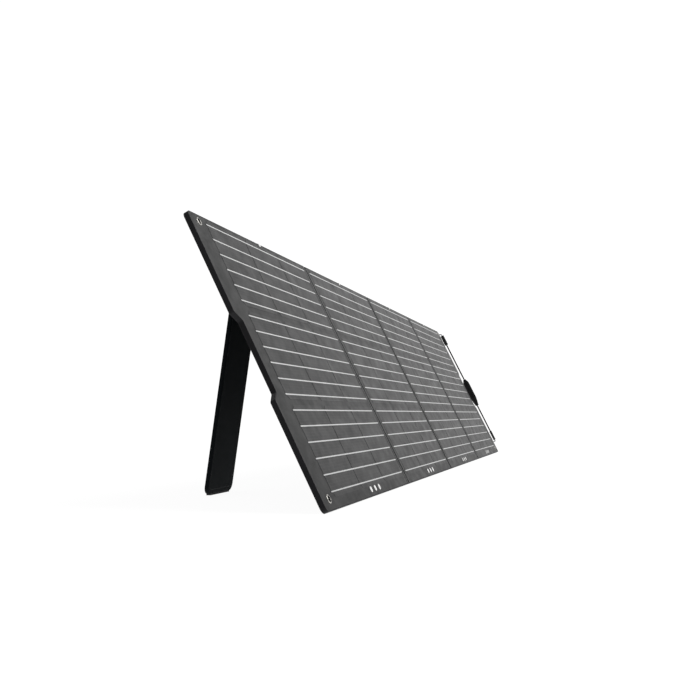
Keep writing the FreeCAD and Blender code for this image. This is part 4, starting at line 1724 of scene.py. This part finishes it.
@dataclass
class Studio:
    """A white room: floor, soft light and camera.

    Attributes:
        eye: where the camera stands, in metres.
        heading: its direction in plan, in degrees from +X toward +Y.
        pitch: how far it looks up, in degrees.
        lens: focal length in millimetres.
        sensor: width of the sensor in millimetres.
        reach: how far the camera sees, in metres.
        floor_size: width of the floor in metres.
        backdrop: brightness of the white behind the object.
        fill: brightness of the room's even light.
        floor_glow: light of its own that the floor gives, which keeps its shadows faint.
        lamps: the soft lamps.
    """

    eye: tuple[float, float, float] = (-2.4755, -0.5426, 0.1466)
    heading: float = 15.17
    pitch: float = 3.87
    lens: float = 48.27
    sensor: float = 36.0
    reach: float = 200.0
    floor_size: float = 120.0
    backdrop: float = 1.05
    fill: float = 0.2
    floor_glow: float = 0.95
    lamps: tuple[Lamp, ...] = (
        Lamp("key_softbox", (0.3, -0.7, 0.75), 1.9, 50.0),
        Lamp("end_softbox", (0.95, 0.06, 0.26), 0.28, 40.0),
    )

    def build(self) -> None:
        """Set up the whole room."""
        bpy.context.scene.view_settings.view_transform = "Standard"
        self.lay_floor()
        self.light_room()
        for lamp in self.lamps:
            lamp.hang()
        self.stand_camera()

    def lay_floor(self) -> None:
        """Lay a pale matt floor that reaches past every view."""
        bpy.ops.mesh.primitive_plane_add(size=self.floor_size)
        floor = bpy.context.object
        floor.name = "studio_floor"
        paint = bpy.data.materials.new("vinyl_floor_matt_white")
        paint.use_nodes = True
        tree = paint.node_tree
        shader = tree.nodes["Principled BSDF"]
        where = add_node(tree, "ShaderNodeTexCoord", {}, {})
        cloud = add_node(
            tree, "ShaderNodeTexNoise", {"Scale": 1.5, "Detail": 4.0},
            {"Vector": where.outputs["Object"]},
        )
        tone = add_node(
            tree, "ShaderNodeMix",
            {"data_type": "RGBA", 6: linear("#6F6F6F"), 7: linear("#777777")},
            {0: cloud.outputs["Fac"]},
        )
        tree.links.new(tone.outputs[2], shader.inputs["Base Color"])
        shader.inputs["Roughness"].default_value = 0.9
        shader.inputs["Specular IOR Level"].default_value = 0.0
        shader.inputs["Emission Color"].default_value = linear("#FFFFFF")
        shader.inputs["Emission Strength"].default_value = self.floor_glow
        floor.data.materials.append(paint)

    def light_room(self) -> None:
        """Give the room an even light and a white backdrop."""
        room = bpy.data.worlds.new("studio_room")
        bpy.context.scene.world = room
        room.use_nodes = True
        tree = room.node_tree
        tree.nodes.clear()
        light = add_node(tree, "ShaderNodeBackground", {"Strength": self.fill}, {})
        white = add_node(tree, "ShaderNodeBackground", {"Strength": self.backdrop}, {})
        for node in (light, white):
            node.inputs["Color"].default_value = linear("#FFFFFF")
        path = add_node(tree, "ShaderNodeLightPath", {}, {})
        either = add_node(
            tree, "ShaderNodeMixShader", {},
            {
                0: path.outputs["Is Camera Ray"], 1: light.outputs["Background"],
                2: white.outputs["Background"],
            },
        )
        add_node(tree, "ShaderNodeOutputWorld", {}, {"Surface": either.outputs["Shader"]})

    def stand_camera(self) -> None:
        """Stand the camera low at the left-hand end."""
        turn = (math.radians(90 + self.pitch), 0.0, math.radians(self.heading - 90))
        bpy.ops.object.camera_add(location=self.eye, rotation=turn)
        camera = bpy.context.object
        camera.name = "studio_camera"
        camera.data.sensor_width = self.sensor
        camera.data.lens = self.lens
        camera.data.clip_end = self.reach
        bpy.context.scene.camera = camera


def main() -> None:
    """Build every sub-assembly on the frame, dress it and light it."""
    logging.basicConfig(level=logging.INFO, format="%(message)s", stream=sys.stdout)
    flat = Space.of_panels()
    assemblies = [
        PanelRow(flat), FoldStrips(flat), KickLeg(flat, Side.LEFT), KickLeg(flat, Side.RIGHT),
        CarryHandle(flat), OutputBox(flat),
    ]
    for assembly in assemblies:
        log.info("building %s", type(assembly).__name__)
        assembly.build()
        assembly.dress()
    Studio().build()


if __name__ == "__main__":
    main()
